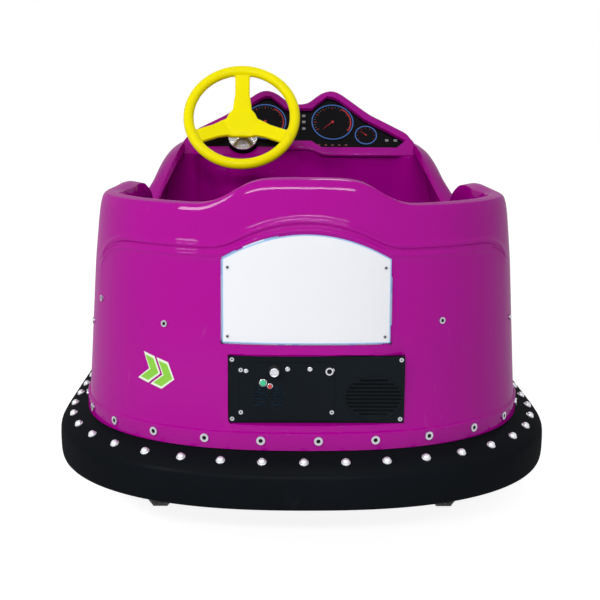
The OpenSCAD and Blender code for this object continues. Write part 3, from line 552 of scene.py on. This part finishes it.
def round_the_car(inset_mm, spacing, start_x):
    """Evenly spaced (x, y, outward angle) round the outline, one of them at start_x on the rear."""
    points = outline(inset_mm)
    steps = [math.dist(points[i], points[(i + 1) % len(points)]) for i in range(len(points))]
    total = sum(steps)
    number = round(total / spacing)
    found, walked, i = [], 0.0, 0
    wanted = start_x % (total / number)
    while len(found) < number:
        if walked + steps[i] >= wanted:
            a, b = points[i], points[(i + 1) % len(points)]
            t = (wanted - walked) / steps[i]
            dx, dy = b[0] - a[0], b[1] - a[1]
            found.append((a[0] + t * dx, a[1] + t * dy, math.atan2(-dx, dy)))
            wanted += total / number
        else:
            walked += steps[i]
            i += 1
    return found


def outwards(x, y, z, angle, tip=90.0):
    """A place on the outline whose z axis points outwards, tipped by so many degrees from upright."""
    return (Matrix.Translation(mm(x, y, z)) @ Matrix.Rotation(angle, 4, "Z")
            @ Matrix.Rotation(math.radians(tip), 4, "Y"))


def wall_y(x, z):
    """Where the curved rear wall's outer face is, in mm, at a place across the car and a height."""
    inner = 70 + 0.064 * (z - 271)
    return REAR_Y - (REAR_BOW - inner) * (1 - (abs(x) / (HALF_W - inner)) ** POWER) ** (1 / POWER)


def on_wall(x, z, proud=0.0):
    """A place on the rear wall, its z axis square to the wall."""
    y = wall_y(x, z)
    along = Vector((2.0, wall_y(x + 1, z) - wall_y(x - 1, z), 0)).normalized()
    up = Vector((0, wall_y(x, z + 1) - wall_y(x, z - 1), 2.0)).normalized()
    out = along.cross(up).normalized()
    turn = Matrix((along, out.cross(along), out)).transposed().to_4x4()
    return Matrix.Translation(mm(x, y, z) + out * proud * MM) @ turn


# Camera, floor and light

CAMERA_AT = (-0.054, -3.020, 0.977)
CAMERA_TURN, CAMERA_TILT, CAMERA_ROLL = (math.radians(angle) for angle in (-1.06, 78.81, 0.46))
bpy.ops.object.camera_add(location=CAMERA_AT)
camera = bpy.context.object
camera.data.lens = 66
camera.data.sensor_width = 36
camera.matrix_world = (Matrix.Translation(CAMERA_AT) @ Matrix.Rotation(CAMERA_TURN, 4, "Z")
                       @ Matrix.Rotation(CAMERA_TILT, 4, "X") @ Matrix.Rotation(CAMERA_ROLL, 4, "Z"))
bpy.context.scene.camera = camera
bpy.context.scene.view_settings.view_transform = "Standard"

bpy.ops.mesh.primitive_plane_add(size=30, location=(0, 0, 0))
floor = started("floor")
floor_white = bpy.data.materials.new("floor_white")
floor_white.use_nodes = True
tree = floor_white.node_tree
tree.nodes["Principled BSDF"].inputs["Base Color"].default_value = (0.8, 0.8, 0.8, 1)
tree.nodes["Principled BSDF"].inputs["Roughness"].default_value = 0.9
glow = node_in(tree, "ShaderNodeEmission")
glow.inputs["Strength"].default_value = 1.95
mixer = node_in(tree, "ShaderNodeMixShader")
feed(tree, sums(tree, "MULTIPLY", seen_directly(tree), 0.45), mixer.inputs[0])
feed(tree, tree.nodes["Principled BSDF"].outputs[0], mixer.inputs[1])
feed(tree, glow.outputs[0], mixer.inputs[2])
feed(tree, mixer.outputs[0], tree.nodes["Material Output"].inputs["Surface"])
floor.data.materials.append(floor_white)

world = bpy.data.worlds.new("studio")
bpy.context.scene.world = world
world.use_nodes = True
tree = world.node_tree
tree.nodes["Background"].inputs["Color"].default_value = (1, 1, 1, 1)
feed(tree, sums(tree, "MULTIPLY_ADD", seen_directly(tree), 0.70, 0.30),
     tree.nodes["Background"].inputs["Strength"])


def lamp(name, at, aim, size, watts):
    bpy.ops.object.light_add(type="AREA", location=at)
    made = started(name)
    made.data.shape = "RECTANGLE"
    made.data.size, made.data.size_y = size
    made.data.energy = watts
    made.rotation_euler = (Vector(aim) - Vector(at)).to_track_quat("-Z", "Y").to_euler()


lamp("softbox_left", (-2.6, -2.6, 2.4), (0, -0.3, 0.4), (0.7, 0.6), 42)
lamp("softbox_top", (0, -1.9, 3.4), (0, -0.8, 0.6), (2.6, 0.035), 13)
lamp("softbox_front", (0.6, 2.6, 3.0), (0, 0.5, 0.5), (1.0, 0.8), 16)
lamp("softbox_rear", (-0.3, -4.6, 2.3), (0, 0.4, 0.6), (3.4, 0.26), 84)

# Mouldings

rear_body = moulding("heel_shell", "rear_body")
dress(rear_body, "chassis", body_gloss)
front_body = moulding("toe_shell", "front_body")
dress(front_body, "chassis", body_gloss)
hood = moulding("dash_cowl", "dash_hood", sharp=35, crease=0.7)
dress(hood, "chassis", body_gloss)
knees = moulding("knee_panel", "knee_moulding", sharp=35, crease=0.8, levels=1, firm_below=FOOT_LINE)
dress(knees, "chassis", inner_gloss)
bench = moulding("seat_bench", "bench_moulding", sharp=35, crease=0.85, levels=1, firm_below=FOOT_LINE)
# Its foot laps behind the floor pan's rear edge on both sides of the battery tray, so no light comes through
work(bench)
for side in (-1, 1):
    bpy.ops.mesh.select_all(action="SELECT")
    bpy.ops.mesh.bisect(plane_co=(side * TRAY_EDGE * MM, 0, 0), plane_no=(1, 0, 0))
pick("FACE", lambda middle, normal: normal.z < -0.9 and middle.z < FOOT_LINE * MM
     and abs(middle.x) > TRAY_EDGE * MM)
extrude(0, -0.4, -3)
bpy.ops.object.mode_set(mode="OBJECT")
soften(bench, 38)
dress(bench, "chassis", inner_gloss)
ring = moulding("rubber_bumper", "bumper_ring", sharp=60, crease=0.6)
dress(ring, "chassis", bumper_rubber)

for name in ("bumper_rail", "floor_pan", "pedal_bracket", "frame_rails", "frame_cross_tubes", "battery_tray",
             "drive_bridge", "axle_blocks"):
    eased(name, 1.2, frame_paint)
for name in ("drive_bearing", "drive_fork", "drive_axle", "rear_axle", "steering_shaft", "column_tube",
             "pedal"):
    eased(name, 0.8, zinc_steel)
eased("battery_pack", 5, battery_case, 3)
eased("control_panel", 0.6, panel_black)
eased("dash_panel", 0.8, dash_black)
eased("column_cap", 0.5, polished_cap)
eased("panel_knob", 0.8, zinc_steel)
eased("panel_buttons", 0.6, zinc_steel)
paint("gauge_rings", ring_blue)
paint("gauge_faces", dial_black)


# Steering wheel: the CAD form with its spokes run smoothly into rim and hub

wheel = cad_copy("steering_wheel", "wheel_moulding")
modified(wheel, "REMESH", mode="VOXEL", voxel_size=0.0024)
modified(wheel, "SMOOTH", factor=0.5, iterations=14)
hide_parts("steering_wheel")
dress(soften(wheel, 180), "steering", wheel_yellow)


# Bolts and screws

def bolt(name, radius, height, socket, sides=20):
    """A straight-sided head with a socket whose floor is painted dark as shade in the recess."""
    bpy.ops.mesh.primitive_cylinder_add(vertices=sides, radius=radius * MM, depth=height * MM,
                                        location=(0, 0, height * MM / 2))
    head = started(name)
    work(head)
    pick("FACE", lambda middle, normal: normal.z > 0.99)
    slide(0, 0, 0.18 * height)
    inset(0.93 * radius - 0.42 * height - socket)
    extrude(0, 0, -0.5 * height)
    # The socket's floor takes the dark second finish: painted shade in the recess
    pick("FACE", lambda middle, normal: middle.length > 0 and middle.z < 1.15 * height * MM
         and math.hypot(middle.x, middle.y) < 1.02 * socket * MM)
    second_finish()
    bpy.ops.object.mode_set(mode="OBJECT")
    head.data.materials[0], head.data.materials[1] = bright_steel, black_insert_and_socket_shade
    return soften(head, 50)


band_bolts = repeated(bolt("band_bolt", 9, 4, 2.2),
                      [outwards(x, y, 252.5, a) for x, y, a in round_the_car(64, 117, 26)], "band_bolts")
dress(band_bolts, "chassis", bright_steel, black_insert_and_socket_shade)
dome = turned("bumper_bolt", [(0, -3), (9.5, -3), (9.5, 1.6), (8, 2.4), (7.6, 4.6), (6, 6.8), (3.4, 8.2),
                              (0, 8.6)], 20)
bumper_bolts = repeated(soften(dome, 35),
                        [outwards(x, y, 219.3, a, 24) for x, y, a in round_the_car(31, 86, -4)], "bumper_bolts")
# The domes wear the near-white steel: a painted highlight
dress(bumper_bolts, "chassis", bumper_steel_painted_highlight)


# Blank sign: a white plate with a thin bluish edge and four rivets

sign = cad_copy("sign_plate", "sign_board")
modified(sign, "BEVEL", width=0.6 * MM, segments=2, limit_method="ANGLE", angle_limit=math.radians(50))
work(sign)
pick("FACE", lambda middle, normal: normal.y < -0.6)
inset(2.6)
bpy.ops.mesh.select_all(action="INVERT")
second_finish()
bpy.ops.object.mode_set(mode="OBJECT")
soften(sign, 35)
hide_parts("sign_plate")
dress(sign, "chassis", sign_white, sign_edge)
rivets = repeated(bolt("sign_rivet", 4, 2.2, 1.2, 16),
                  [on_wall(x, z, 3.2) for x in (-160, 160) for z in (467, 608)], "sign_rivets")
dress(rivets, "chassis", bright_steel, black_insert_and_socket_shade)

body_screws = repeated(bolt("body_screw", 7, 3.4, 1.8, 18),
                       [on_wall(x, z, 0.2) for x, z in ((-294, 482), (-447, 505), (-478, 440), (283, 492),
                                                        (467, 458))], "body_screws")
dress(body_screws, "chassis", bright_steel, black_insert_and_socket_shade)


# Control panel

def on_panel(x, z, proud=0.0):
    """A place on the black panel, from its lower left corner, facing the rear."""
    return PANEL @ Matrix.Translation(mm(x, z, proud))


panel_screws = repeated(bolt("panel_screw", 4.5, 2.2, 0.6, 16),
                        [on_panel(x, z) for x, z in ((8, 8), (8, 134), (356, 8), (356, 134), (26, 22),
                                                     (26, 112), (214, 22), (214, 112))], "panel_screws")
dress(panel_screws, "chassis", bright_steel, black_insert_and_socket_shade)


def control(name, profile, x, z, finish, steps=32):
    """A knob, button or socket turned on the lathe and set on the panel."""
    return dress(soften(place(turned(name, profile, steps), on_panel(x, z, 0.3)), 35), "chassis", finish)


KNOB_AT, SOCKET_AT = (95, 111), (208, 111)
control("knob_skirt", [(0, 0), (13, 0), (13, 2), (11.5, 3), (0, 3)], *KNOB_AT, black_insert_and_socket_shade)
knob = turned("volume_knob", [(0, 2), (10.4, 2), (10.4, 12), (9.2, 15), (8, 15.6), (6.5, 15), (0, 15)], 36)
work(knob)
pick("FACE", lambda middle, normal: abs(normal.z) < 0.3 and middle.z > 0.004)
inset(0.5, -0.8, each=True)
bpy.ops.object.mode_set(mode="OBJECT")
dress(soften(place(knob, on_panel(*KNOB_AT, 0.3)), 30), "chassis", zinc_steel)
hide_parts("panel_knob")
ring_profile = [(5, 0), (9, 0), (9, 3), (8, 4.6), (5.4, 4.6), (5, 4), (5, 0)]
socket = control("charge_socket", ring_profile, *SOCKET_AT, zinc_steel)
control("socket_core", [(0, 0), (4.9, 0), (4.9, 2.4), (1.6, 2.6), (1.6, 1.2), (0, 1.2)], *SOCKET_AT,
        black_insert_and_socket_shade)
for name, x, z, size, finish in (("button_left", 72, 86, 6.5, button_green),
                                 ("button_right", 86, 79, 4.6, button_red)):
    control(name + "_collar", [(size, 0), (size + 1.6, 0), (size + 1.6, 1.6), (size + 0.6, 2.4), (size, 2.4),
                               (size, 0)], x, z, zinc_steel)
    control(name, [(0, 0), (size - 0.3, 0), (size - 0.3, 4.4), (size - 1.6, 5.6), (0, 5.9)], x, z, finish)
for name, x, z, size in (("lamp_left", 122, 115, 4), ("lamp_middle", 168, 115, 4), ("key_stud", 37, 111, 3.6)):
    control(name, [(0, 0), (size + 1, 0), (size + 1, 2), (size, 3), (size - 1, 3.2), (size - 1.6, 5),
                   (0, 5.6)], x, z, zinc_steel)
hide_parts("panel_buttons")

# Vent and grille frames stand a little proud of the panel


def frame_strip(name, x, z, wide, high, band, proud):
    """A thin raised frame on the panel."""
    strip = block(name, wide, high, proud)
    work(strip)
    pick("FACE", lambda middle, normal: abs(normal.z) > 0.9)
    inset(band)
    bpy.ops.mesh.delete(type="FACE")
    pick("EDGE", lambda middle, along: abs(middle.x) < (wide / 2 - band * 0.9) * MM
         and abs(middle.y) < (high / 2 - band * 0.9) * MM)
    bpy.ops.mesh.bridge_edge_loops()
    bpy.ops.mesh.select_all(action="SELECT")
    bpy.ops.mesh.normals_make_consistent(inside=False)
    bpy.ops.object.mode_set(mode="OBJECT")
    modified(strip, "BEVEL", width=0.25 * MM, segments=1, limit_method="ANGLE", angle_limit=math.radians(50))
    return place(strip, on_panel(x, z, proud / 2))


module_frame = frame_strip("module_frame", 120, 67, 198, 126, 1.2, 0.8)
dress(module_frame, "chassis", panel_black)


def grille_ring():
    ring = turned("grille_ring", [(60, 0), (63, 0), (63, 0.8), (62, 1.4), (61, 1.4), (60, 0.8), (60, 0)], 64)
    work(ring)
    bpy.ops.mesh.select_all(action="SELECT")
    bpy.ops.transform.resize(value=(1, 0.78, 1), center_override=(0, 0, 0))
    bpy.ops.object.mode_set(mode="OBJECT")
    return ring


dress(soften(place(grille_ring(), on_panel(300, 55, 0.1)), 40), "chassis", panel_black)


def backing(name, x, z, wide, high, finish):
    """A thin plate behind the slots of the panel."""
    plate = block(name, wide, high, 2)
    work(plate)
    pick("EDGE", lambda middle, along: abs(along.z) > 0.9 * along.length)
    round_edges(6, 4)
    pick("FACE", lambda middle, normal: normal.z > 0.9)
    inset(2, -0.4)
    bpy.ops.object.mode_set(mode="OBJECT")
    return dress(soften(place(plate, on_panel(x, z, -6.6)), 35), "chassis", finish)


# The vent backing's light blue is painted light in the shade behind the slots
backing("vent_backing", 86, 54, 84, 62, vent_blue_painted_light)
backing("speaker_cloth", 300, 58, 122, 108, black_insert_and_socket_shade)


# A bare decal of two arrowheads on the wall, pale under green

def arrowhead(name, wide, tall, reach, shift, proud, finish):
    bpy.ops.mesh.primitive_grid_add(x_subdivisions=4, y_subdivisions=12, size=1, location=(0, 0, 0))
    mark = sized(name, wide, tall, 0)
    work(mark)
    for row in range(13):
        y = tall * (row / 12 - 0.5)
        pick("VERT", lambda spot, normal: abs(spot.y - y * MM) < 0.0008)
        slide(-reach * abs(2 * y / tall), 0, 0)
    bpy.ops.object.mode_set(mode="OBJECT")
    place(mark, on_wall(-312, 379, 4) @ Matrix.Rotation(math.radians(-14), 4, "Z")
          @ Matrix.Translation(mm(shift, 0, 0)))
    modified(mark, "SHRINKWRAP", target=rear_body, wrap_method="NEAREST_SURFACEPOINT",
             wrap_mode="ABOVE_SURFACE", offset=proud * MM)
    modified(mark, "SOLIDIFY", thickness=0.3 * MM, offset=1.0)
    return dress(soften(mark, 30), "chassis", finish)


for side, shift in (("left", -6), ("right", 30)):
    arrowhead(f"decal_rim_{side}", 30, 60, 24, shift, 0.3, decal_pale)
    arrowhead(f"decal_{side}", 22, 50, 21, shift - 0.4, 0.7, decal_green)


# Dials

def on_dash(x, up, depth):
    """A place on the dash face: across the car, up along the face and down into it, in mm."""
    return DASH @ Matrix.Translation(mm(x, up, -depth))


DIALS = [(101, 123, 60), (200, 77, 30), (-101, 123, 60)]
FACE_DEPTH = 9.8


def tick(long, wide):
    mark = block("tick", long, wide, 0.5)
    work(mark)
    pick("FACE", lambda middle, normal: normal.x < -0.9)
    bpy.ops.transform.resize(value=(1, 0.6, 1))
    pick("EDGE", lambda middle, along: middle.z > 0.1 * MM)
    round_edges(0.12, 1)
    bpy.ops.object.mode_set(mode="OBJECT")
    return mark


def dial_places(dial, reach, angles):
    x, up, radius = dial
    return [on_dash(x, up, FACE_DEPTH) @ Matrix.Rotation(math.radians(a), 4, "Z")
            @ Matrix.Translation(mm(radius * reach, 0, 0)) for a in angles]


sweep = [-30 + 30 * i for i in range(9)]
between = [-30 + 10 * i for i in range(25) if i % 3]
large_dials = (DIALS[0], DIALS[2])
long_ticks = repeated(tick(9, 1.6), [m for d in large_dials for m in dial_places(d, 0.86, sweep)], "long_ticks")
dress(long_ticks, "chassis", dial_red)
short_ticks = repeated(tick(5, 0.8), [m for d in large_dials for m in dial_places(d, 0.89, between)],
                       "short_ticks")
dress(short_ticks, "chassis", dial_white)
small_ticks = repeated(tick(5, 0.9), dial_places(DIALS[1], 0.82, sweep), "small_ticks")
dress(small_ticks, "chassis", dial_red)


def needle(name, dial, long, angle):
    """A tapered needle on a round boss."""
    x, up, radius = dial
    bpy.ops.mesh.primitive_cylinder_add(vertices=24, radius=0.07 * radius * MM, depth=2.4 * MM,
                                        location=mm(0, 0, 1.2))
    boss = started(name + "_boss")
    hand = block(name + "_hand", long, 2.4, 0.8)
    work(hand)
    pick("FACE", lambda middle, normal: normal.x > 0.9)
    bpy.ops.transform.resize(value=(1, 0.25, 0.6))
    bpy.ops.mesh.select_all(action="SELECT")
    slide(0.38 * long, 0, 1.6)
    bpy.ops.object.mode_set(mode="OBJECT")
    there = on_dash(x, up, FACE_DEPTH) @ Matrix.Rotation(math.radians(angle), 4, "Z")
    dress(soften(place(joined([boss, hand], name), there), 35), "chassis", dial_red)


needle("needle_right", DIALS[0], 46, 222)
needle("needle_small", DIALS[1], 24, 140)
needle("needle_left", DIALS[2], 46, 222)


def dial_arc(name, dial, low, high, start, stop):
    """A coloured arc along the edge of a dial."""
    arc = turned(name, [(low, 0), (high, 0), (high, 0.4), (low, 0.4), (low, 0)], 72)
    work(arc)
    for angle, side in ((start, -1), (stop, 1)):
        bpy.ops.mesh.select_all(action="SELECT")
        a = math.radians(angle)
        bpy.ops.mesh.bisect(plane_co=(0, 0, 0), plane_no=(-side * math.sin(a), side * math.cos(a), 0),
                            clear_outer=True, use_fill=True)
    bpy.ops.object.mode_set(mode="OBJECT")
    dress(place(arc, on_dash(dial[0], dial[1], FACE_DEPTH)), "chassis", dial_red)


dial_arc("red_arc_right", DIALS[0], 53.5, 56.5, -35, 58)
dial_arc("red_arc_left", DIALS[2], 53.5, 56.5, -35, 58)


def warning_lens(size):
    bpy.ops.mesh.primitive_cube_add(size=1, location=mm(0, 0, 0.5))
    lens = sized("lens", *size, 1.0)
    work(lens)
    pick("FACE", lambda middle, normal: normal.z > 0.9)
    inset(1.0, 0.5)
    inset(0.8, -0.3)
    bpy.ops.object.mode_set(mode="OBJECT")
    return lens


LENS_DEPTH = 11.7
lenses = repeated(warning_lens((10, 8)),
                  [on_dash(x, up, LENS_DEPTH) for x, up in ((15, 146), (15, 124), (15, 100), (262, 60),
                                                            (288, 60))], "warning_lenses")
dress(lenses, "chassis", dial_white)
red_lenses = repeated(warning_lens((7, 4)),
                      [on_dash(x, 42, LENS_DEPTH) for x in (60, 80, 100, 120, 140)], "red_lenses")
dress(red_lenses, "chassis", dial_dim)


# Wheels

def wheel_place(x, y, z):
    """The middle of a wheel, with the z axis along its axle, to the right."""
    return set_in(x, y, z) @ Matrix.Rotation(math.radians(90), 4, "Y")


def bolt_circle(name, head, count, radius, height):
    """Bolts in a circle on both faces of a wheel that is still on the origin."""
    return repeated(head, [
        Matrix.Rotation(math.radians(360 / count * i), 4, "Z")
        @ Matrix.Rotation(math.radians(90 - 90 * face), 4, "X")
        @ Matrix.Translation(mm(radius, 0, height)) for i in range(count) for face in (1, -1)], name)


def tyre(name, radius, width, bore, soft, steps, tread, rows):
    """A tyre turned from its section, then its tread faces raised into blocks."""
    low = radius - tread
    half = width / 2
    edges = [half - soft - (width - 2 * soft) * i / rows for i in range(rows + 1)]
    profile = [(bore / 2, half - 2), (bore / 2 + 6, half - 1), (radius - soft - 3, half), (low, half - soft)]
    profile += [(low, z) for z in edges[1:]]
    profile += [(radius - soft - 3, -half), (bore / 2 + 6, -half + 1), (bore / 2, -half + 2),
                (bore / 2, half - 2)]
    made = turned(name, profile, steps)
    work(made)
    pick("FACE", lambda middle, normal: math.hypot(middle.x, middle.y) > (low - 1.5) * MM
         and abs(normal.z) < 0.1)
    inset(1.1, tread - 0.4, each=True)
    bpy.ops.object.mode_set(mode="OBJECT")
    return soften(made, 30)


drive_place = wheel_place(*DRIVE_WHEEL_AT)
drive_tyre = place(tyre("drive_tyre_treaded", 125, 60, 150.6, 9, 54, 4, 4), drive_place)
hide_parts("drive_tyre")
dress(drive_tyre, "drive_wheel", tread_rubber)
for side, word in ((-1, "left"), (1, "right")):
    rear_place = wheel_place(side * REAR_WHEEL_X, *REAR_AXLE)
    rear_tyre = place(tyre(f"rear_tyre_{word}_treaded", 100, 50, 120.6, 8, 48, 2.5, 3), rear_place)
    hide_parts(f"rear_tyre_{word}")
    dress(rear_tyre, f"rear_wheel_{word}", tread_rubber)
    rim = turned(f"rear_rim_{word}_dished", [
        (10.2, 30), (15, 30), (22, 28), (22, 20), (26, 13), (44, 9), (50, 12), (54, 20), (60, 20), (60, -20),
        (54, -20), (50, -12), (44, -9), (26, -13), (22, -20), (22, -28), (15, -30), (10.2, -30),
        (10.2, 30)], 48)
    rim_bolts = bolt_circle(f"rim_bolts_{word}", bolt("rim_bolt", 4.5, 4, 1.8, 12), 5, 36, 10.4)
    rim = soften(place(rim, rear_place), 35)
    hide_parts(f"rear_rim_{word}")
    dress(rim, f"rear_wheel_{word}", zinc_steel)
    dress(place(rim_bolts, rear_place), f"rear_wheel_{word}", bright_steel, black_insert_and_socket_shade)

motor = turned("hub_motor", [
    (10.2, 32), (24, 32), (30, 30), (30, 26), (36, 24), (60, 22), (64, 26), (72, 28), (75, 26), (75, -26),
    (72, -28), (64, -26), (60, -22), (36, -24), (30, -26), (30, -30), (24, -32), (10.2, -32),
    (10.2, 32)], 60)
motor = soften(place(motor, drive_place), 35)
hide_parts("drive_hub")
dress(motor, "drive_wheel", zinc_steel)
cover_bolts = bolt_circle("cover_bolts", bolt("cover_bolt", 3.4, 3, 1.4, 12), 8, 50, 22.6)
dress(place(cover_bolts, drive_place), "drive_wheel", bright_steel, black_insert_and_socket_shade)


# Pedal pad and floor mat

def ribbed(name, wide, long, thick, ribs, high, along_x):
    """A rubber sheet with raised ribs, its underside on the plane z = 0."""
    bpy.ops.mesh.primitive_grid_add(x_subdivisions=2 * ribs + 1 if along_x else 1,
                                    y_subdivisions=1 if along_x else 2 * ribs + 1, size=1, location=(0, 0, 0))
    sheet = sized(name, wide, long, 0)
    work(sheet)
    bpy.ops.mesh.select_all(action="SELECT")
    extrude(0, 0, thick)
    cells = 2 * ribs + 1
    size = wide if along_x else long

    def is_rib(middle, normal):
        cell = int(((middle.x if along_x else middle.y) / MM / size + 0.5) * cells)
        return normal.z > 0.9 and middle.z > 0.5 * thick * MM and cell % 2 == 1
    pick("FACE", is_rib)
    inset(0.4, high, each=True)
    bpy.ops.mesh.select_all(action="SELECT")
    bpy.ops.mesh.normals_make_consistent(inside=False)
    bpy.ops.object.mode_set(mode="OBJECT")
    return sheet


pad = ribbed("pedal_pad", 78, 122, 3, 9, 1.6, False)
place(pad, set_in(-120, 262, 203, 42) @ Matrix.Translation(mm(0, 65, 6.2)))
dress(pad, "chassis", tread_rubber)
mat = ribbed("floor_mat", 700, 500, 2.5, 34, 1.5, True)
place(mat, set_in(0, -30, 169.6))
dress(mat, "chassis", tread_rubber)


# Cushions: each starts a little smaller than its solid, is piped, and is blown up as cloth between seams

def piping(cage, name, radius):
    """A round cord along the border of the faces that are selected on the cage."""
    bpy.ops.mesh.region_to_loop()
    bpy.ops.mesh.duplicate()
    bpy.ops.mesh.separate(type="SELECTED")
    bpy.ops.object.mode_set(mode="OBJECT")
    cord = [o for o in bpy.context.selected_objects if o is not cage][0]
    hold(cord)
    started(name)
    bpy.ops.object.convert(target="CURVE")
    cord = bpy.context.object
    cord.data.bevel_depth = radius * MM
    cord.data.bevel_resolution = 2
    bpy.ops.object.convert(target="MESH")
    cord = bpy.context.object
    cord.data.materials.clear()
    work(cord)
    bpy.ops.mesh.select_all(action="SELECT")
    bpy.ops.mesh.normals_make_consistent(inside=False)
    bpy.ops.object.mode_set(mode="OBJECT")
    return soften(cord, 60)


BLOWN_FRAMES = 20
SKIN = 0.0005


def blown(piece, node, pinned, cap):
    """Pressure swells the piece as cloth; points that are pinned stay, others move by the cap at most."""
    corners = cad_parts[node].bound_box
    low, high = [Vector([end(c[i] for c in corners) for i in range(3)]) for end in (min, max)]
    held = piece.vertex_groups.new(name="seams")
    held.add([v.index for v in piece.data.vertices if pinned(v.co / MM, v.normal)], 1.0, "REPLACE")
    hold(piece)
    cloth = piece.modifiers.new("cloth", "CLOTH")
    cloth.settings.quality = 5
    cloth.settings.mass = 0.3
    cloth.settings.tension_stiffness = cloth.settings.compression_stiffness = 12
    cloth.settings.bending_stiffness = 0.8
    cloth.settings.use_pressure = True
    cloth.settings.uniform_pressure_force = 4
    cloth.settings.effector_weights.gravity = 0
    cloth.settings.vertex_group_mass = "seams"
    cloth.collision_settings.use_collision = False
    for moment in range(1, BLOWN_FRAMES + 1):
        bpy.context.scene.frame_set(moment)
    blown_mesh = piece.evaluated_get(bpy.context.evaluated_depsgraph_get()).data
    moved = [v.co.copy() for v in blown_mesh.vertices]
    piece.modifiers.remove(cloth)
    bpy.context.scene.frame_set(1)
    for vert, to in zip(piece.data.vertices, moved):
        step = to - vert.co
        if step.length > cap * MM:
            step.length = cap * MM
        for i in range(3):
            vert.co[i] = min(max(vert.co[i] + step[i], low[i] + SKIN), high[i] - SKIN)
    modified(piece, "SUBSURF", levels=1, render_levels=1)
    return soften(piece, 180)


def shrunk(piece, factors, centre):
    work(piece)
    bpy.ops.mesh.select_all(action="SELECT")
    bpy.ops.transform.resize(value=factors, center_override=mm(*centre))
    bpy.ops.object.mode_set(mode="OBJECT")


def channel(piece, xs, side, depth):
    """Draws narrow grooves into the side of the pad that faces the sitter, where the seams run."""
    axis = 2 if side == "top" else 1
    for reach, share in ((11, 0.35), (6, 0.65)):
        work(piece)
        pick("VERT", lambda spot, normal: normal[axis] > 0.5
             and any(abs(spot.x - x * MM) < reach * MM for x in xs))
        bpy.ops.transform.translate(value=mm(*[-depth * share if i == axis else 0 for i in range(3)]))
        bpy.ops.object.mode_set(mode="OBJECT")


seat = cad_copy("seat_cushion", "seat_pad")
SEAT_FOOT, SEAT_HIGH, SEAT_SQUASH = 401, 69.3, 0.80
shrunk(seat, (0.972, 0.965, SEAT_SQUASH), (0, -450, SEAT_FOOT))
work(seat)
pick("FACE", lambda middle, normal: normal.z > 0.9)
seat_cord = piping(seat, "seat_piping", 3.6)
work(seat)
pick("FACE", lambda middle, normal: abs(normal.z) > 0.9)
bpy.ops.mesh.region_to_loop()
round_edges(11, 3)
bpy.ops.object.mode_set(mode="OBJECT")
modified(seat, "REMESH", mode="VOXEL", voxel_size=0.006)
channel(seat, (0,), "top", 9)
SEAT_TOP = SEAT_FOOT + SEAT_SQUASH * SEAT_HIGH
seat = blown(seat, "seat_cushion", lambda p, n: p.z < 408 or abs(p.x) < 5 or
             (abs(n.z) > 0.3 and abs(n.z) < 0.92 and p.z > SEAT_TOP - 9), 15)
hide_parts("seat_cushion")
dress(seat, "chassis", pad_vinyl)
dress(seat_cord, "chassis", pad_vinyl)

back = cad_copy("back_cushion", "back_pad")
shrunk(back, (0.97, 1.0, 0.95), (0, -700, 568))
work(back)
# The cushion curves round a point in front of it, and its front panel is what faces that point
pick("FACE", lambda middle, normal: normal.dot(Vector((-middle.x, -0.25 - middle.y, 0)).normalized()) > 0.85)
back_cord = piping(back, "back_piping", 3.4)
modified(back, "REMESH", mode="VOXEL", voxel_size=0.006)
BACK_SEAMS = (-150, 0, 150)
channel(back, BACK_SEAMS, "front", 7)
back = blown(back, "back_cushion", lambda p, n: n.y < -0.2 or any(abs(p.x - x) < 5 for x in BACK_SEAMS), 9)
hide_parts("back_cushion")
dress(back, "chassis", pad_vinyl)
dress(back_cord, "chassis", pad_vinyl)
